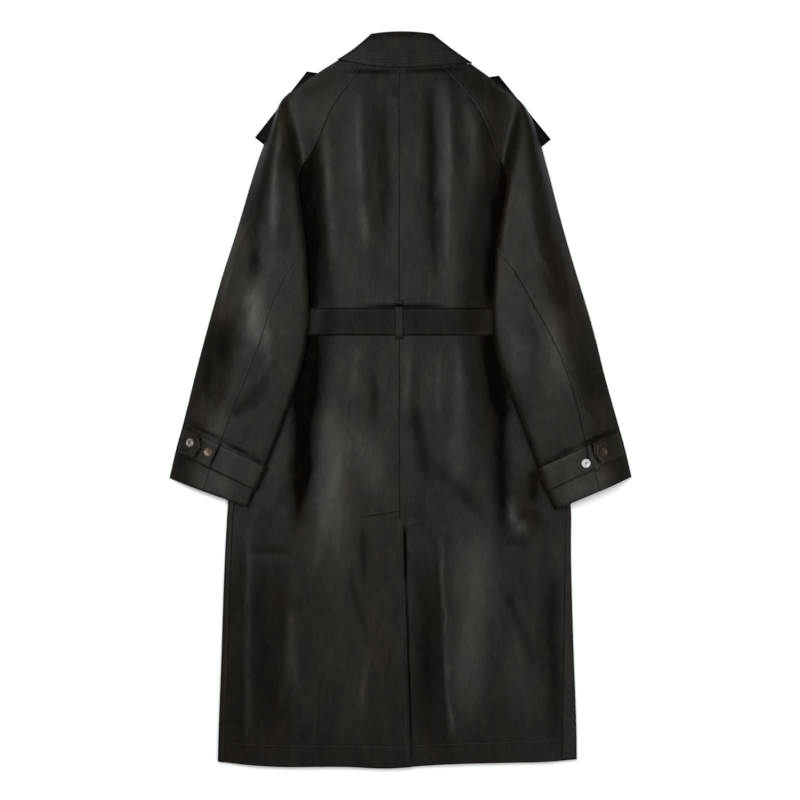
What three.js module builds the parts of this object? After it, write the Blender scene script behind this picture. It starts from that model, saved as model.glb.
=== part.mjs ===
// A long raglan trench coat with a belt, lying flat, face down, on a level surface.
// Millimetres. +X is the viewer's right, +Y points to the collar, +Z is up, away from the surface.

import * as THREE from 'three';

// Walls and gaps
const cloth = 2.0;
const collarCloth = 2.2;
const seamGap = 0.3;
const restGap = 0.3;

// Side edges, where each front turns round onto the back
const edgeRoll = 4.0;

// Belt and its loop
const beltThick = 2.6;
const beltHigh = 154;
const beltLow = 107;
const beltGapInside = 0.5;
const loopWide = 12;
const loopThick = 1.6;
const loopTop = 166;
const loopBottom = 101;
const loopCentre = -2;

// Centre-back seam and vent
const centreSeam = -2;
const ventTop = -203;
const ventAtTop = 5;
const ventAtHem = 18;
const underlapEdge = -35;
const lapDrop = cloth + 0.8;

// Front overlap
const frontOverlap = 50;
const overlapRise = cloth + 0.4;

// Neck line of the panels, and lift of all front layers over the collar's fall and the epaulettes
const armpitY = 252;
const shoulderLift = 3.1;
const hemLine = -619;

// Sleeve sections
const sleeveRoll = 14;
const ringFrom = 8.5;
const ringTo = 9;
const underStart = 11.05;
const lastStation = 19;
const strapStart = 17;
const strapEnd = 18;
const strapThick = 2.2;
const strapGap = 0.4;

// Epaulettes
const epauletteThick = 2.6;

// Buttons
const buttonRadius = 7.5;
const buttonThick = 3.2;

const clamp01 = (t) => Math.min(1, Math.max(0, t));
const mix = (a, b, t) => a + (b - a) * t;
const ease = (from, to, x) => {
  const t = clamp01((x - from) / (to - from));
  return t * t * (3 - 2 * t);
};

// Reads a column of a table as a smooth curve of its first column, which falls or rises steadily.
function curveOf(rows, key, column) {
  const keys = rows.map((row) => row[key]);
  const values = rows.map((row) => row[column]);
  const rising = keys[keys.length - 1] > keys[0];
  const slopeAt = (i) => {
    const a = Math.max(0, i - 1);
    const b = Math.min(keys.length - 1, i + 1);
    return (values[b] - values[a]) / (keys[b] - keys[a]);
  };
  return (at) => {
    let i = 0;
    while (i < keys.length - 2 && (rising ? at > keys[i + 1] : at < keys[i + 1])) {
      i += 1;
    }
    const span = keys[i + 1] - keys[i];
    const t = clamp01((at - keys[i]) / span);
    const t2 = t * t;
    const t3 = t2 * t;
    return (2 * t3 - 3 * t2 + 1) * values[i] + (t3 - 2 * t2 + t) * span * slopeAt(i)
      + (3 * t2 - 2 * t3) * values[i + 1] + (t3 - t2) * span * slopeAt(i + 1);
  };
}

// The back's level: its lowest line beside each sleeve or side edge, the width over which it rises
// from there, and its height there and in the middle.
const backLevels = [
  { y: 573, valleyLeft: -105, valleyRight: 119, ramp: 60, low: 7.6, mid: 11 },
  { y: 539, valleyLeft: -155, valleyRight: 153, ramp: 70, low: 7.6, mid: 13 },
  { y: 505, valleyLeft: -190, valleyRight: 196, ramp: 66, low: 7.6, mid: 15 },
  { y: 455, valleyLeft: -176, valleyRight: 183, ramp: 48, low: 7.4, mid: 17 },
  { y: 395, valleyLeft: -163, valleyRight: 171, ramp: 42, low: 7.2, mid: 19 },
  { y: 252, valleyLeft: -146, valleyRight: 150, ramp: 40, low: 7.4, mid: 19 },
  { y: 167, valleyLeft: -139, valleyRight: 141, ramp: 40, low: 7.4, mid: 17.5 },
  { y: 91, valleyLeft: -146, valleyRight: 146, ramp: 42, low: 7.4, mid: 17.5 },
  { y: -2, valleyLeft: -165, valleyRight: 163, ramp: 50, low: 7.4, mid: 19 },
  { y: -120, valleyLeft: -204, valleyRight: 194, ramp: 58, low: 7.4, mid: 19 },
  { y: -204, valleyLeft: -254, valleyRight: 253, ramp: 58, low: 7.6, mid: 18 },
  { y: -272, valleyLeft: -288, valleyRight: 280, ramp: 54, low: 7.8, mid: 17 },
  { y: -373, valleyLeft: -298, valleyRight: 288, ramp: 54, low: 8, mid: 16 },
  { y: -619, valleyLeft: -307, valleyRight: 298, ramp: 56, low: 8, mid: 13 },
];

// Ridges and troughs of the back, each along a line, with its half-width and its height.
const backFolds = [
  { x1: -70, y1: 542, x2: -52, y2: 167, wide: 20, high: 1.8 },
  { x1: -124, y1: 463, x2: -117, y2: 184, wide: 20, high: 1.4 },
  { x1: -28, y1: 514, x2: -25, y2: 269, wide: 22, high: -1.3 },
  { x1: 84, y1: 542, x2: 81, y2: 167, wide: 18, high: 2.6 },
  { x1: 55, y1: 536, x2: 55, y2: 184, wide: 18, high: -1.6 },
  { x1: 117, y1: 505, x2: 139, y2: 362, wide: 18, high: 1.2 },
  { x1: -74, y1: 100, x2: -75, y2: -19, wide: 18, high: 1.8 },
  { x1: -111, y1: 7, x2: -128, y2: -357, wide: 36, high: 2.4 },
  { x1: -43, y1: 91, x2: -43, y2: -52, wide: 16, high: -1.4 },
  { x1: 101, y1: 100, x2: 104, y2: -44, wide: 18, high: 1.6 },
  { x1: -43, y1: -69, x2: -38, y2: -179, wide: 30, high: 1.8 },
  { x1: 74, y1: -213, x2: 92, y2: -619, wide: 20, high: 3.0 },
  { x1: 40, y1: -213, x2: 46, y2: -619, wide: 24, high: -1.8 },
  { x1: 126, y1: -171, x2: 131, y2: -407, wide: 34, high: 2.2 },
  { x1: 163, y1: -2, x2: 168, y2: -238, wide: 18, high: -2.0 },
  { x1: 204, y1: -191, x2: 209, y2: -238, wide: 17, high: 3.0 },
  { x1: 188, y1: -272, x2: 244, y2: -509, wide: 18, high: -1.5 },
  { x1: 160, y1: -272, x2: 202, y2: -509, wide: 20, high: 1.4 },
  { x1: 250, y1: -290, x2: 252, y2: -610, wide: 18, high: -1.6 },
  { x1: -256, y1: -230, x2: -259, y2: -610, wide: 16, high: 1.8 },
  { x1: -217, y1: -221, x2: -224, y2: -610, wide: 26, high: -1.6 },
  { x1: -175, y1: -272, x2: -183, y2: -509, wide: 18, high: 1.5 },
];

// Sleeve sections from the neck (station 0) to the cuff (station 19). Each runs from the outer edge to
// the inner fold edge. Above the shoulder point it goes on to the raglan seam across a valley. seamAt is
// where the outer back piece ends along the section's path, from 0 at the outer edge to 1.
const leftSleeve = [
  { outX: -107, outY: 571, inX: -101, inY: 571, high: 0, valley: -97, seamAt: 1 },
  { outX: -131, outY: 556, inX: -123, inY: 556, high: 0, valley: -117, seamAt: 1 },
  { outX: -156, outY: 539, inX: -148, inY: 539, high: 0, valley: -141, seamAt: 1 },
  { outX: -178, outY: 524, inX: -170, inY: 524, high: 1, valley: -163, seamAt: 1 },
  { outX: -197, outY: 510, inX: -189, inY: 510, high: 2, valley: -183, seamAt: 1 },
  { outX: -204, outY: 499, inX: -194, inY: 499, high: 5, valley: -186, seamAt: 1 },
  { outX: -210, outY: 485, inX: -194, inY: 485, high: 9, valley: -182, seamAt: 1 },
  { outX: -221, outY: 455, inX: -190, inY: 455, high: 16, valley: -176, seamAt: 1 },
  { outX: -234, outY: 421, inX: -183, inY: 421, high: 22, valley: -168, seamAt: 1 },
  { outX: -251, outY: 370, inX: -172, inY: 370, high: 26, valley: -163, seamAt: 0.76 },
  { outX: -266, outY: 319, inX: -165, inY: 319, high: 28, valley: -160, seamAt: 0.66 },
  { outX: -281, outY: 269, inX: -159, inY: 269, high: 30, valley: -155, seamAt: 0.545 },
  { outX: -298, outY: 218, inX: -155, inY: 216, high: 31, valley: -150, seamAt: 0.300 },
  { outX: -314, outY: 162, inX: -151, inY: 154, high: 31, valley: -148, seamAt: 0.230 },
  { outX: -330, outY: 103, inX: -156, inY: 88, high: 31, valley: -150, seamAt: 0.208 },
  { outX: -344, outY: 52, inX: -173, inY: 29, high: 30, valley: -165, seamAt: 0.196 },
  { outX: -357, outY: -2, inX: -197, inY: -42, high: 29, valley: -190, seamAt: 0.178 },
  { outX: -368, outY: -46, inX: -225, inY: -113, high: 27, valley: -215, seamAt: 0.175 },
  { outX: -380, outY: -88, inX: -244, inY: -153, high: 26, valley: -235, seamAt: 0.168 },
  { outX: -390, outY: -133, inX: -256, inY: -181, high: 25, valley: -250, seamAt: 0.170 },
];

const rightSleeve = [
  { outX: 119, outY: 565.5, inX: 113, inY: 565.5, high: 0, valley: 108, seamAt: 1 },
  { outX: 134, outY: 555, inX: 126, inY: 555, high: 0, valley: 120, seamAt: 1 },
  { outX: 153, outY: 541, inX: 145, inY: 541, high: 0, valley: 138, seamAt: 1 },
  { outX: 173, outY: 526, inX: 165, inY: 526, high: 1, valley: 158, seamAt: 1 },
  { outX: 192, outY: 512, inX: 184, inY: 512, high: 2, valley: 177, seamAt: 1 },
  { outX: 206, outY: 500, inX: 196, inY: 500, high: 4, valley: 188, seamAt: 1 },
  { outX: 216, outY: 485, inX: 200, inY: 485, high: 9, valley: 188, seamAt: 1 },
  { outX: 231, outY: 455, inX: 196, inY: 455, high: 16, valley: 182, seamAt: 1 },
  { outX: 239, outY: 421, inX: 189, inY: 421, high: 22, valley: 174, seamAt: 1 },
  { outX: 253, outY: 370, inX: 180, inY: 370, high: 26, valley: 171, seamAt: 0.76 },
  { outX: 266, outY: 319, inX: 171, inY: 319, high: 28, valley: 166, seamAt: 0.66 },
  { outX: 280, outY: 269, inX: 162, inY: 269, high: 29, valley: 158, seamAt: 0.545 },
  { outX: 295, outY: 218, inX: 157, inY: 216, high: 30, valley: 152, seamAt: 0.290 },
  { outX: 312, outY: 162, inX: 153, inY: 154, high: 30, valley: 148, seamAt: 0.215 },
  { outX: 329, outY: 103, inX: 155, inY: 91, high: 30, valley: 148, seamAt: 0.155 },
  { outX: 341, outY: 52, inX: 173, inY: 35, high: 30, valley: 165, seamAt: 0.140 },
  { outX: 356, outY: -2, inX: 205, inY: -47, high: 29, valley: 195, seamAt: 0.145 },
  { outX: 370, outY: -51, inX: 230, inY: -117, high: 27, valley: 220, seamAt: 0.160 },
  { outX: 381, outY: -91, inX: 245, inY: -156, high: 26, valley: 235, seamAt: 0.158 },
  { outX: 390, outY: -131, inX: 259, inY: -186, high: 25, valley: 250, seamAt: 0.165 },
];

// Inner edge of the front sleeve piece below, between the raglan seam's straight part and the armpit.
const frontSleeveInner = {
  left: [-183, -207, -270],
  right: [189, 213, 273],
};

const leftSleeveFolds = [
  { x1: -190, y1: 485, x2: -215, y2: 362, wide: 17, high: 2.0 },
  { x1: -217, y1: 362, x2: -209, y2: 260, wide: 18, high: 2.0 },
  { x1: -251, y1: 252, x2: -248, y2: 204, wide: 18, high: -2.6 },
  { x1: -270, y1: 260, x2: -276, y2: 167, wide: 20, high: 1.3 },
  { x1: -241, y1: 167, x2: -246, y2: 100, wide: 29, high: 2.0 },
  { x1: -297, y1: 150, x2: -303, y2: 46, wide: 18, high: -2.3 },
  { x1: -222, y1: 125, x2: -219, y2: 49, wide: 17, high: 2.0 },
  { x1: -334, y1: 7, x2: -298, y2: 2, wide: 17, high: -2.0 },
  { x1: -217, y1: 35, x2: -280, y2: -35, wide: 17, high: -2.3 },
];

const rightSleeveFolds = [
  { x1: 190, y1: 117, x2: 195, y2: 24, wide: 29, high: 2.0 },
  { x1: 263, y1: 167, x2: 271, y2: 7, wide: 29, high: 2.0 },
  { x1: 227, y1: 150, x2: 237, y2: -2, wide: 18, high: -1.6 },
  { x1: 325, y1: 56, x2: 325, y2: 19, wide: 17, high: -1.6 },
  { x1: 215, y1: 353, x2: 236, y2: 235, wide: 18, high: 1.0 },
];

// Side edges of the body from the armpit down, and the width of front cloth turned onto the back.
const sideEdges = [
  { y: 252, left: -261, right: 263, wrapLeft: 10, wrapRight: 10 },
  { y: -179, left: -292, right: 288, wrapLeft: 10, wrapRight: 8 },
  { y: -264, left: -297, right: 288, wrapLeft: 10, wrapRight: 10 },
  { y: -340, left: -300, right: 290, wrapLeft: 10, wrapRight: 13 },
  { y: -441, left: -303, right: 293, wrapLeft: 10, wrapRight: 18 },
  { y: -542, left: -307, right: 297, wrapLeft: 10, wrapRight: 24 },
  { y: -619, left: -309, right: 298, wrapLeft: 10, wrapRight: 27 },
];

const raglanLine = [
  { y: 573, left: -58, right: 64 },
  { y: 556, left: -67, right: 72 },
  { y: 539, left: -80, right: 91 },
  { y: 510, left: -103, right: 115 },
  { y: 485, left: -118, right: 134 },
  { y: 455, left: -132, right: 148 },
  { y: 421, left: -146, right: 158 },
  { y: 395, left: -164, right: 170 },
  { y: 370, left: -182, right: 188 },
  { y: 330, left: -198, right: 204 },
  { y: 286, left: -222, right: 226 },
  { y: 252, left: -251, right: 253 },
];

const hemCurve = [
  { x: -310, y: -611 },
  { x: -212, y: -619 },
  { x: -94, y: -619 },
  { x: -26, y: -622 },
  { x: 25, y: -619 },
  { x: 75, y: -615 },
  { x: 194, y: -612 },
  { x: 244, y: -611 },
  { x: 300, y: -607 },
];

const valleyLeft = curveOf(backLevels, 'y', 'valleyLeft');
const valleyRight = curveOf(backLevels, 'y', 'valleyRight');
const rampAt = curveOf(backLevels, 'y', 'ramp');
const lowAt = curveOf(backLevels, 'y', 'low');
const midAt = curveOf(backLevels, 'y', 'mid');
const hemAt = curveOf(hemCurve, 'x', 'y');

const sides = {
  left: {
    name: 'left',
    inward: 1,
    edge: curveOf(sideEdges, 'y', 'left'),
    wrap: curveOf(sideEdges, 'y', 'wrapLeft'),
    raglan: curveOf(raglanLine, 'y', 'left'),
    stations: leftSleeve,
    folds: leftSleeveFolds,
  },
  right: {
    name: 'right',
    inward: -1,
    edge: curveOf(sideEdges, 'y', 'right'),
    wrap: curveOf(sideEdges, 'y', 'wrapRight'),
    raglan: curveOf(raglanLine, 'y', 'right'),
    stations: rightSleeve,
    folds: rightSleeveFolds,
  },
};

for (const side of Object.values(sides)) {
  side.stations.forEach((row, index) => {
    row.station = index;
  });
  side.column = {};
  for (const column of ['outX', 'outY', 'inX', 'inY', 'high', 'valley', 'seamAt']) {
    side.column[column] = curveOf(side.stations, 'station', column);
  }
}

// Height that one fold adds at a place.
function foldHeight(fold, x, y) {
  const dx = fold.x2 - fold.x1;
  const dy = fold.y2 - fold.y1;
  const length = Math.hypot(dx, dy);
  const along = ((x - fold.x1) * dx + (y - fold.y1) * dy) / (length * length);
  const across = ((x - fold.x1) * dy - (y - fold.y1) * dx) / length;
  const ends = ease(-0.15, 0.2, along) * (1 - ease(0.8, 1.15, along));
  return fold.high * ends * Math.exp(-((across / fold.wide) ** 2));
}

function foldsAt(folds, x, y) {
  return folds.reduce((sum, fold) => sum + foldHeight(fold, x, y), 0);
}

// 1 across the belt's height, easing to 0 a little above and below it.
const beltEaseNear = 6;
const beltEaseFar = 32;

function beltBand(y) {
  return ease(beltLow - beltEaseFar, beltLow - beltEaseNear, y)
    * (1 - ease(beltHigh + beltEaseNear, beltHigh + beltEaseFar, y));
}

// Lowest level of the front layers: they lie over the belt's front run, the collar and the epaulettes.
const liftFrom = 335;
const liftTo = 385;

function frontFloor(y) {
  return (beltThick + beltGapInside) * beltBand(y) + shoulderLift * ease(liftFrom, liftTo, y);
}

// Upper surface of the back. The folds fade towards the side edges and the neck, and where the belt presses.
const edgeFade = 22;
const neckFadeFrom = 515;
const neckFadeTo = 560;
const pressedBy = 0.75;
const pressNear = 4;
const pressFar = 45;

function backTop(x, y) {
  const fromLeft = ease(0, rampAt(y), x - valleyLeft(y));
  const fromRight = ease(0, rampAt(y), valleyRight(y) - x);
  const leftInset = x - sides.left.edge(y) - edgeRoll;
  const rightInset = sides.right.edge(y) - edgeRoll - x;
  const calm = ease(0, edgeFade, leftInset) * ease(0, edgeFade, rightInset)
    * (1 - ease(neckFadeFrom, neckFadeTo, y));
  const pressed = 1 - pressedBy * ease(beltLow - pressFar, beltLow - pressNear, y)
    * (1 - ease(beltHigh + pressNear, beltHigh + pressFar, y));
  return lowAt(y) + (midAt(y) - lowAt(y)) * fromLeft * fromRight
    + foldsAt(backFolds, x, y) * calm * pressed
    + (beltThick + beltGapInside) * beltBand(y);
}

// The vent's slit, along the free edge of the left half.
function slitAt(y) {
  return mix(ventAtTop, ventAtHem, clamp01((ventTop - y) / (ventTop - hemLine)));
}

// Upper surface of the right half, which dips under the left half at the vent.
const lapBeside = [14, 34];
const lapAbove = [6, 28];

function rightBackTop(x, y) {
  const slit = slitAt(y);
  const sunk = (1 - ease(slit + lapBeside[0], slit + lapBeside[1], x))
    * (1 - ease(ventTop + lapAbove[0], ventTop + lapAbove[1], y));
  return backTop(x, y) - lapDrop * sunk;
}

// Follows the hem's curve in the lowest part of the coat.
const hemReach = 170;

function withHem(x, y) {
  return y + (hemAt(x) - hemLine) * (1 - ease(hemLine, hemLine + hemReach, y));
}

// Turns a point function of two numbers into the point and its outward direction.
function skinAt(point, u, v, outward) {
  const du = 0.002;
  const dv = 0.02;
  const across = point(u + du, v).sub(point(u - du, v));
  const along = point(u, v + dv).sub(point(u, v - dv));
  const normal = across.cross(along).normalize().multiplyScalar(outward);
  return { point: point(u, v), normal };
}

// A thin closed wall from a grid of skin points: raised is the gap below it, thick its thickness.
function wall(name, grid, thick, finish, raised = 0, floorAt = null) {
  const rows = grid.length;
  const columns = grid[0].length;
  const positions = [];
  const push = (point) => positions.push(point.x, point.y, point.z);
  for (const row of grid) {
    for (const { point, normal } of row) {
      push(point.clone().addScaledVector(normal, raised === 0 ? 0 : raised + thick));
    }
  }
  for (const row of grid) {
    for (const { point, normal } of row) {
      const inner = point.clone().addScaledVector(normal, raised === 0 ? -thick : raised);
      if (floorAt) {
        inner.z = Math.max(inner.z, floorAt(inner));
      }
      push(inner);
    }
  }
  const outer = (i, j) => i * columns + j;
  const inner = (i, j) => (rows + i) * columns + j;
  const indices = [];
  const quad = (a, b, c, d) => indices.push(a, b, c, a, c, d);
  for (let i = 0; i < rows - 1; i += 1) {
    for (let j = 0; j < columns - 1; j += 1) {
      quad(outer(i, j), outer(i, j + 1), outer(i + 1, j + 1), outer(i + 1, j));
      indices.push(inner(i, j), inner(i + 1, j + 1), inner(i, j + 1));
      indices.push(inner(i, j), inner(i + 1, j), inner(i + 1, j + 1));
    }
  }
  for (let j = 0; j < columns - 1; j += 1) {
    quad(outer(0, j + 1), outer(0, j), inner(0, j), inner(0, j + 1));
    quad(outer(rows - 1, j), outer(rows - 1, j + 1), inner(rows - 1, j + 1), inner(rows - 1, j));
  }
  for (let i = 0; i < rows - 1; i += 1) {
    quad(outer(i, 0), outer(i + 1, 0), inner(i + 1, 0), inner(i, 0));
    quad(outer(i + 1, columns - 1), outer(i, columns - 1), inner(i, columns - 1), inner(i + 1, columns - 1));
  }
  return closedMesh(name, positions, indices, finish);
}

// Makes the mesh, with its triangles turned so that they face out.
function closedMesh(name, positions, indices, finish) {
  const a = new THREE.Vector3();
  const b = new THREE.Vector3();
  const c = new THREE.Vector3();
  let volume = 0;
  for (let k = 0; k < indices.length; k += 3) {
    a.fromArray(positions, indices[k] * 3);
    b.fromArray(positions, indices[k + 1] * 3);
    c.fromArray(positions, indices[k + 2] * 3);
    volume += a.dot(b.cross(c)) / 6;
  }
  if (volume < 0) {
    for (let k = 0; k < indices.length; k += 3) {
      [indices[k + 1], indices[k + 2]] = [indices[k + 2], indices[k + 1]];
    }
  }
  const geometry = new THREE.BufferGeometry();
  geometry.setAttribute('position', new THREE.Float32BufferAttribute(positions, 3));
  geometry.setIndex(indices);
  geometry.computeVertexNormals();
  const mesh = new THREE.Mesh(geometry, finish);
  mesh.name = name;
  return mesh;
}

const leather = new THREE.MeshStandardMaterial({ color: 0x2e2824, roughness: 0.48, metalness: 0 });
const innerLeather = new THREE.MeshStandardMaterial({ color: 0x1c1815, roughness: 0.6, metalness: 0 });
const horn = new THREE.MeshStandardMaterial({ color: 0xb9a58c, roughness: 0.35, metalness: 0 });
const darkHorn = new THREE.MeshStandardMaterial({ color: 0x4a2a20, roughness: 0.35, metalness: 0 });

const coat = new THREE.Group();

// Back halves
const lowerRows = [238, 190, beltHigh, 131, beltLow, 84, 40, -10, -62, -114, -160, -190, -200, -206, -216,
  -250, -305, -370, -440, -510, -565, -598, hemLine];
const raglanRows = (side) => [...side.stations.slice(0, 9).map((row) => row.outY), 395, 370, 330, 290, 262];
const backColumns = 17;
const underlapFrom = ventTop - 5;

function backEdge(side, y) {
  const seam = side.edge(y) + side.inward * (side.wrap(y) + seamGap);
  return y > armpitY ? side.raglan(y) + side.inward * seamGap : seam;
}

function backGrid(side) {
  const isLeft = side.inward > 0;
  const height = isLeft ? backTop : rightBackTop;
  return [...raglanRows(side), ...lowerRows].map((y) => {
    const outerX = backEdge(side, y);
    let centreX = centreSeam - side.inward * seamGap / 2;
    if (isLeft && y < ventTop) {
      centreX = slitAt(y);
    }
    if (!isLeft && y < underlapFrom) {
      centreX = underlapEdge;
    }
    const row = [];
    for (let j = 0; j <= backColumns; j += 1) {
      const x = mix(outerX, centreX, j / backColumns);
      const place = (px, py) => new THREE.Vector3(px, withHem(px, py), height(px, py));
      const skin = skinAt((u, v) => place(x + u * 100, y + v), 0, 0, 1);
      row.push(skin);
    }
    return row;
  });
}

const backGrids = { left: backGrid(sides.left), right: backGrid(sides.right) };
coat.add(wall('back_left', backGrids.left, cloth, leather));
coat.add(wall('back_right', backGrids.right, cloth, leather));

// Fronts: floor part, roll round the side edge, and the strip on the back up to the side seam.
// u is 0 to 1 along the floor, 1 to 2 round the roll and 2 to 3 along the strip.
const overlapStops = [49, 72];
const overlapShares = [0.2, 0.3];

function floorX(side, u, centreX, floorEnd) {
  if (side.inward > 0) {
    return mix(centreX, floorEnd, u);
  }
  const [first, second] = overlapShares;
  if (u < first) {
    return mix(centreX, overlapStops[0], u / first);
  }
  if (u < second) {
    return mix(overlapStops[0], overlapStops[1], (u - first) / (second - first));
  }
  return mix(overlapStops[1], floorEnd, (u - second) / (1 - second));
}

// Above these heights a front has no roll, and ends flat at the raglan seam.
const rollEndsFrom = 240;
const rollEndsTo = 264;
const flatInset = 12;

function frontPoint(side, u, y) {
  const { inward } = side;
  const flat = ease(rollEndsFrom, rollEndsTo, y);
  const edge = side.edge(y);
  const raglan = side.raglan(y) + inward * seamGap;
  const floor = frontFloor(y);
  const centreX = centreSeam + inward * frontOverlap;
  const rollX = edge + inward * edgeRoll;
  const flatX = raglan + inward * flatInset;
  const floorEnd = mix(rollX, flatX, flat);
  let x = 0;
  let z = 0;
  if (u <= 1) {
    x = floorX(side, u, centreX, floorEnd);
    z = floor;
  } else {
    const topZ = backTop(rollX, y);
    const seamX = edge + inward * side.wrap(y);
    const angle = (Math.min(u, 2) - 1) * Math.PI;
    const half = (topZ - floor) / 2;
    let wrappedX = rollX - inward * edgeRoll * Math.sin(angle);
    let wrappedZ = floor + half - half * Math.cos(angle);
    if (u > 2) {
      wrappedX = mix(rollX, seamX, u - 2);
      wrappedZ = backTop(wrappedX, y);
    }
    x = mix(wrappedX, mix(flatX, raglan, (u - 1) / 2), flat);
    z = mix(wrappedZ, floor, flat);
  }
  if (inward < 0) {
    z += overlapRise * (1 - ease(overlapStops[0], overlapStops[1], x));
  }
  return new THREE.Vector3(x, withHem(x, y), z);
}

// Columns of a front: the overlap's ramp on the right one, and evenly round the edge.
const frontColumns = {
  left: [0, 0.22, 0.47, 0.74, 1, 1.25, 1.5, 1.75, 2, 3],
  right: [0, 0.2, 0.3, 0.65, 1, 1.25, 1.5, 1.75, 2, 3],
};

function frontGrid(side) {
  const upper = raglanRows(side).slice(2);
  const fromHemUp = [...upper, ...lowerRows].reverse();
  return fromHemUp.map((y) => frontColumns[side.name].map((u) => {
    const point = (pu, pv) => frontPoint(side, u + pu, y + pv);
    const skin = skinAt(point, 0, 0, side.inward);
    if (u < 1) {
      skin.normal.set(0, 0, -1);
    }
    return skin;
  }));
}

coat.add(wall('front_left', frontGrid(sides.left), cloth, innerLeather));
coat.add(wall('front_right', frontGrid(sides.right), cloth, innerLeather));

// Highest point of what lies under a sleeve, with clearance.
const clearance = 1.2;
const beltClearance = 2.8;

function underSleeve(x, y) {
  const onBelt = beltBand(y);
  return backTop(x, y) + onBelt * (beltThick + 2 * seamGap + beltClearance) + clearance;
}

// Section path of a sleeve. q runs from the outer edge (0) over the top to the inner fold (0.55) and back
// below to the body's side (1). Near the neck it runs across the valley to the raglan seam instead.
const topEnds = 0.35;
const foldAt = 0.55;
const turnEnds = 0.75;
const rampStarts = 0.93;
const crestAt = 0.45;
const crestDrop = 0.22;
const largestRoll = 0.45;
const foldFadeWidth = 0.12;
const foldFadeHeight = 20;
const neckFoldShare = 0.4;
const footReach = [8, 14];
const footStations = [11, 12];
const leastStep = 0.02;
const bodyGuess = 0.3;
const bodyRounds = 4;

function sleevePoint(side, v, q) {
  const at = side.column;
  const { inward } = side;
  const outX = at.outX(v);
  const outY = at.outY(v);
  const inX = at.inX(v);
  const inY = at.inY(v);
  const high = Math.max(0, at.high(v));
  const width = Math.hypot(inX - outX, inY - outY);
  const rollShare = Math.min(largestRoll, sleeveRoll / width);
  const innerT = 1 - rollShare;
  const edgeSlope = 2 * high / (crestAt * width);
  const edgeZ = cloth + restGap + frontFloor(outY) + cloth / Math.sqrt(1 + edgeSlope * edgeSlope);
  const planX = (t) => mix(outX, inX, t);
  const planY = (t) => mix(outY, inY, t);
  const topZ = (t) => {
    const rise = t < crestAt
      ? 1 - (1 - t / crestAt) ** 2
      : 1 - crestDrop * ((t - crestAt) / (1 - crestAt)) ** 2;
    const calm = ease(0, foldFadeWidth, t) * ease(0, foldFadeHeight, high);
    return edgeZ + high * rise + foldsAt(side.folds, planX(t), planY(t)) * calm;
  };
  const ring = ease(ringFrom, ringTo, v);
  const raglanX = side.raglan(Math.max(outY, armpitY));
  const valleyX = at.valley(v);
  const innerTop = topZ(innerT);
  const innerBottomRing = underSleeve(planX(innerT), planY(innerT));
  const valleyZ = backTop(valleyX, outY);
  const foldZ = mix(mix(innerTop, valleyZ, neckFoldShare), (innerTop + innerBottomRing) / 2, ring);
  if (q <= topEnds) {
    const t = innerT * q / topEnds;
    return new THREE.Vector3(planX(t), planY(t), topZ(t));
  }
  if (q <= foldAt) {
    const angle = (q - topEnds) / (foldAt - topEnds) * Math.PI / 2;
    const t = innerT + rollShare * Math.sin(angle);
    const soft = mix(1 - Math.sin(angle) ** 2, Math.cos(angle), ring);
    return new THREE.Vector3(planX(t), planY(t), foldZ + (innerTop - foldZ) * soft);
  }
  const below = new THREE.Vector3();
  const beside = new THREE.Vector3();
  const bodyT = (offset) => {
    let t = bodyGuess;
    for (let k = 0; k < bodyRounds; k += 1) {
      t = (side.edge(planY(t)) + inward * offset - outX) / (inX - outX);
    }
    return t;
  };
  const shoulderT = Math.min(bodyT(edgeRoll), innerT - leastStep);
  const footT = Math.min(bodyT(-mix(...footReach, ease(...footStations, v))), shoulderT - leastStep);
  if (q <= turnEnds) {
    const share = (q - foldAt) / (turnEnds - foldAt);
    const angle = Math.PI / 2 * (1 + share);
    const t = innerT + rollShare * Math.sin(angle);
    const endZ = underSleeve(planX(t), planY(t));
    below.set(planX(t), planY(t), foldZ + (endZ - foldZ) * -Math.cos(angle));
    beside.set(mix(inX, valleyX, share), outY, mix(foldZ, valleyZ, Math.sin(share * Math.PI / 2)));
  } else {
    const share = (q - turnEnds) / (1 - turnEnds);
    const stop = (rampStarts - turnEnds) / (1 - turnEnds);
    let t = mix(innerT, shoulderT, share / stop);
    let z = underSleeve(planX(t), planY(t));
    if (share > stop) {
      const down = (share - stop) / (1 - stop);
      t = mix(shoulderT, footT, down);
      z = mix(underSleeve(planX(shoulderT), planY(shoulderT)), 0, down);
    }
    below.set(planX(t), planY(t), z);
    const x = mix(valleyX, raglanX, share);
    beside.set(x, outY, backTop(x, outY));
  }
  return beside.lerp(below, ring);
}

function sleeveSkin(side, v, q, shift = 0) {
  const point = (u, w) => sleevePoint(side, v + w * 0.5, q + u);
  const skin = skinAt(point, 0, 0, -side.inward);
  if (shift !== 0) {
    const across = point(0.002, 0).sub(point(-0.002, 0)).normalize();
    skin.point.addScaledVector(across, shift);
  }
  return skin;
}

const sleeveColumns = 13;
const sleeveStations = [...Array(lastStation + 1).keys(), 8.5, 11.5, 17.5].sort((a, b) => a - b);
const underStations = [underStart, 11.5, 12, 13, 14, 15, 16, strapStart, 17.5, strapEnd, lastStation];

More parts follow.
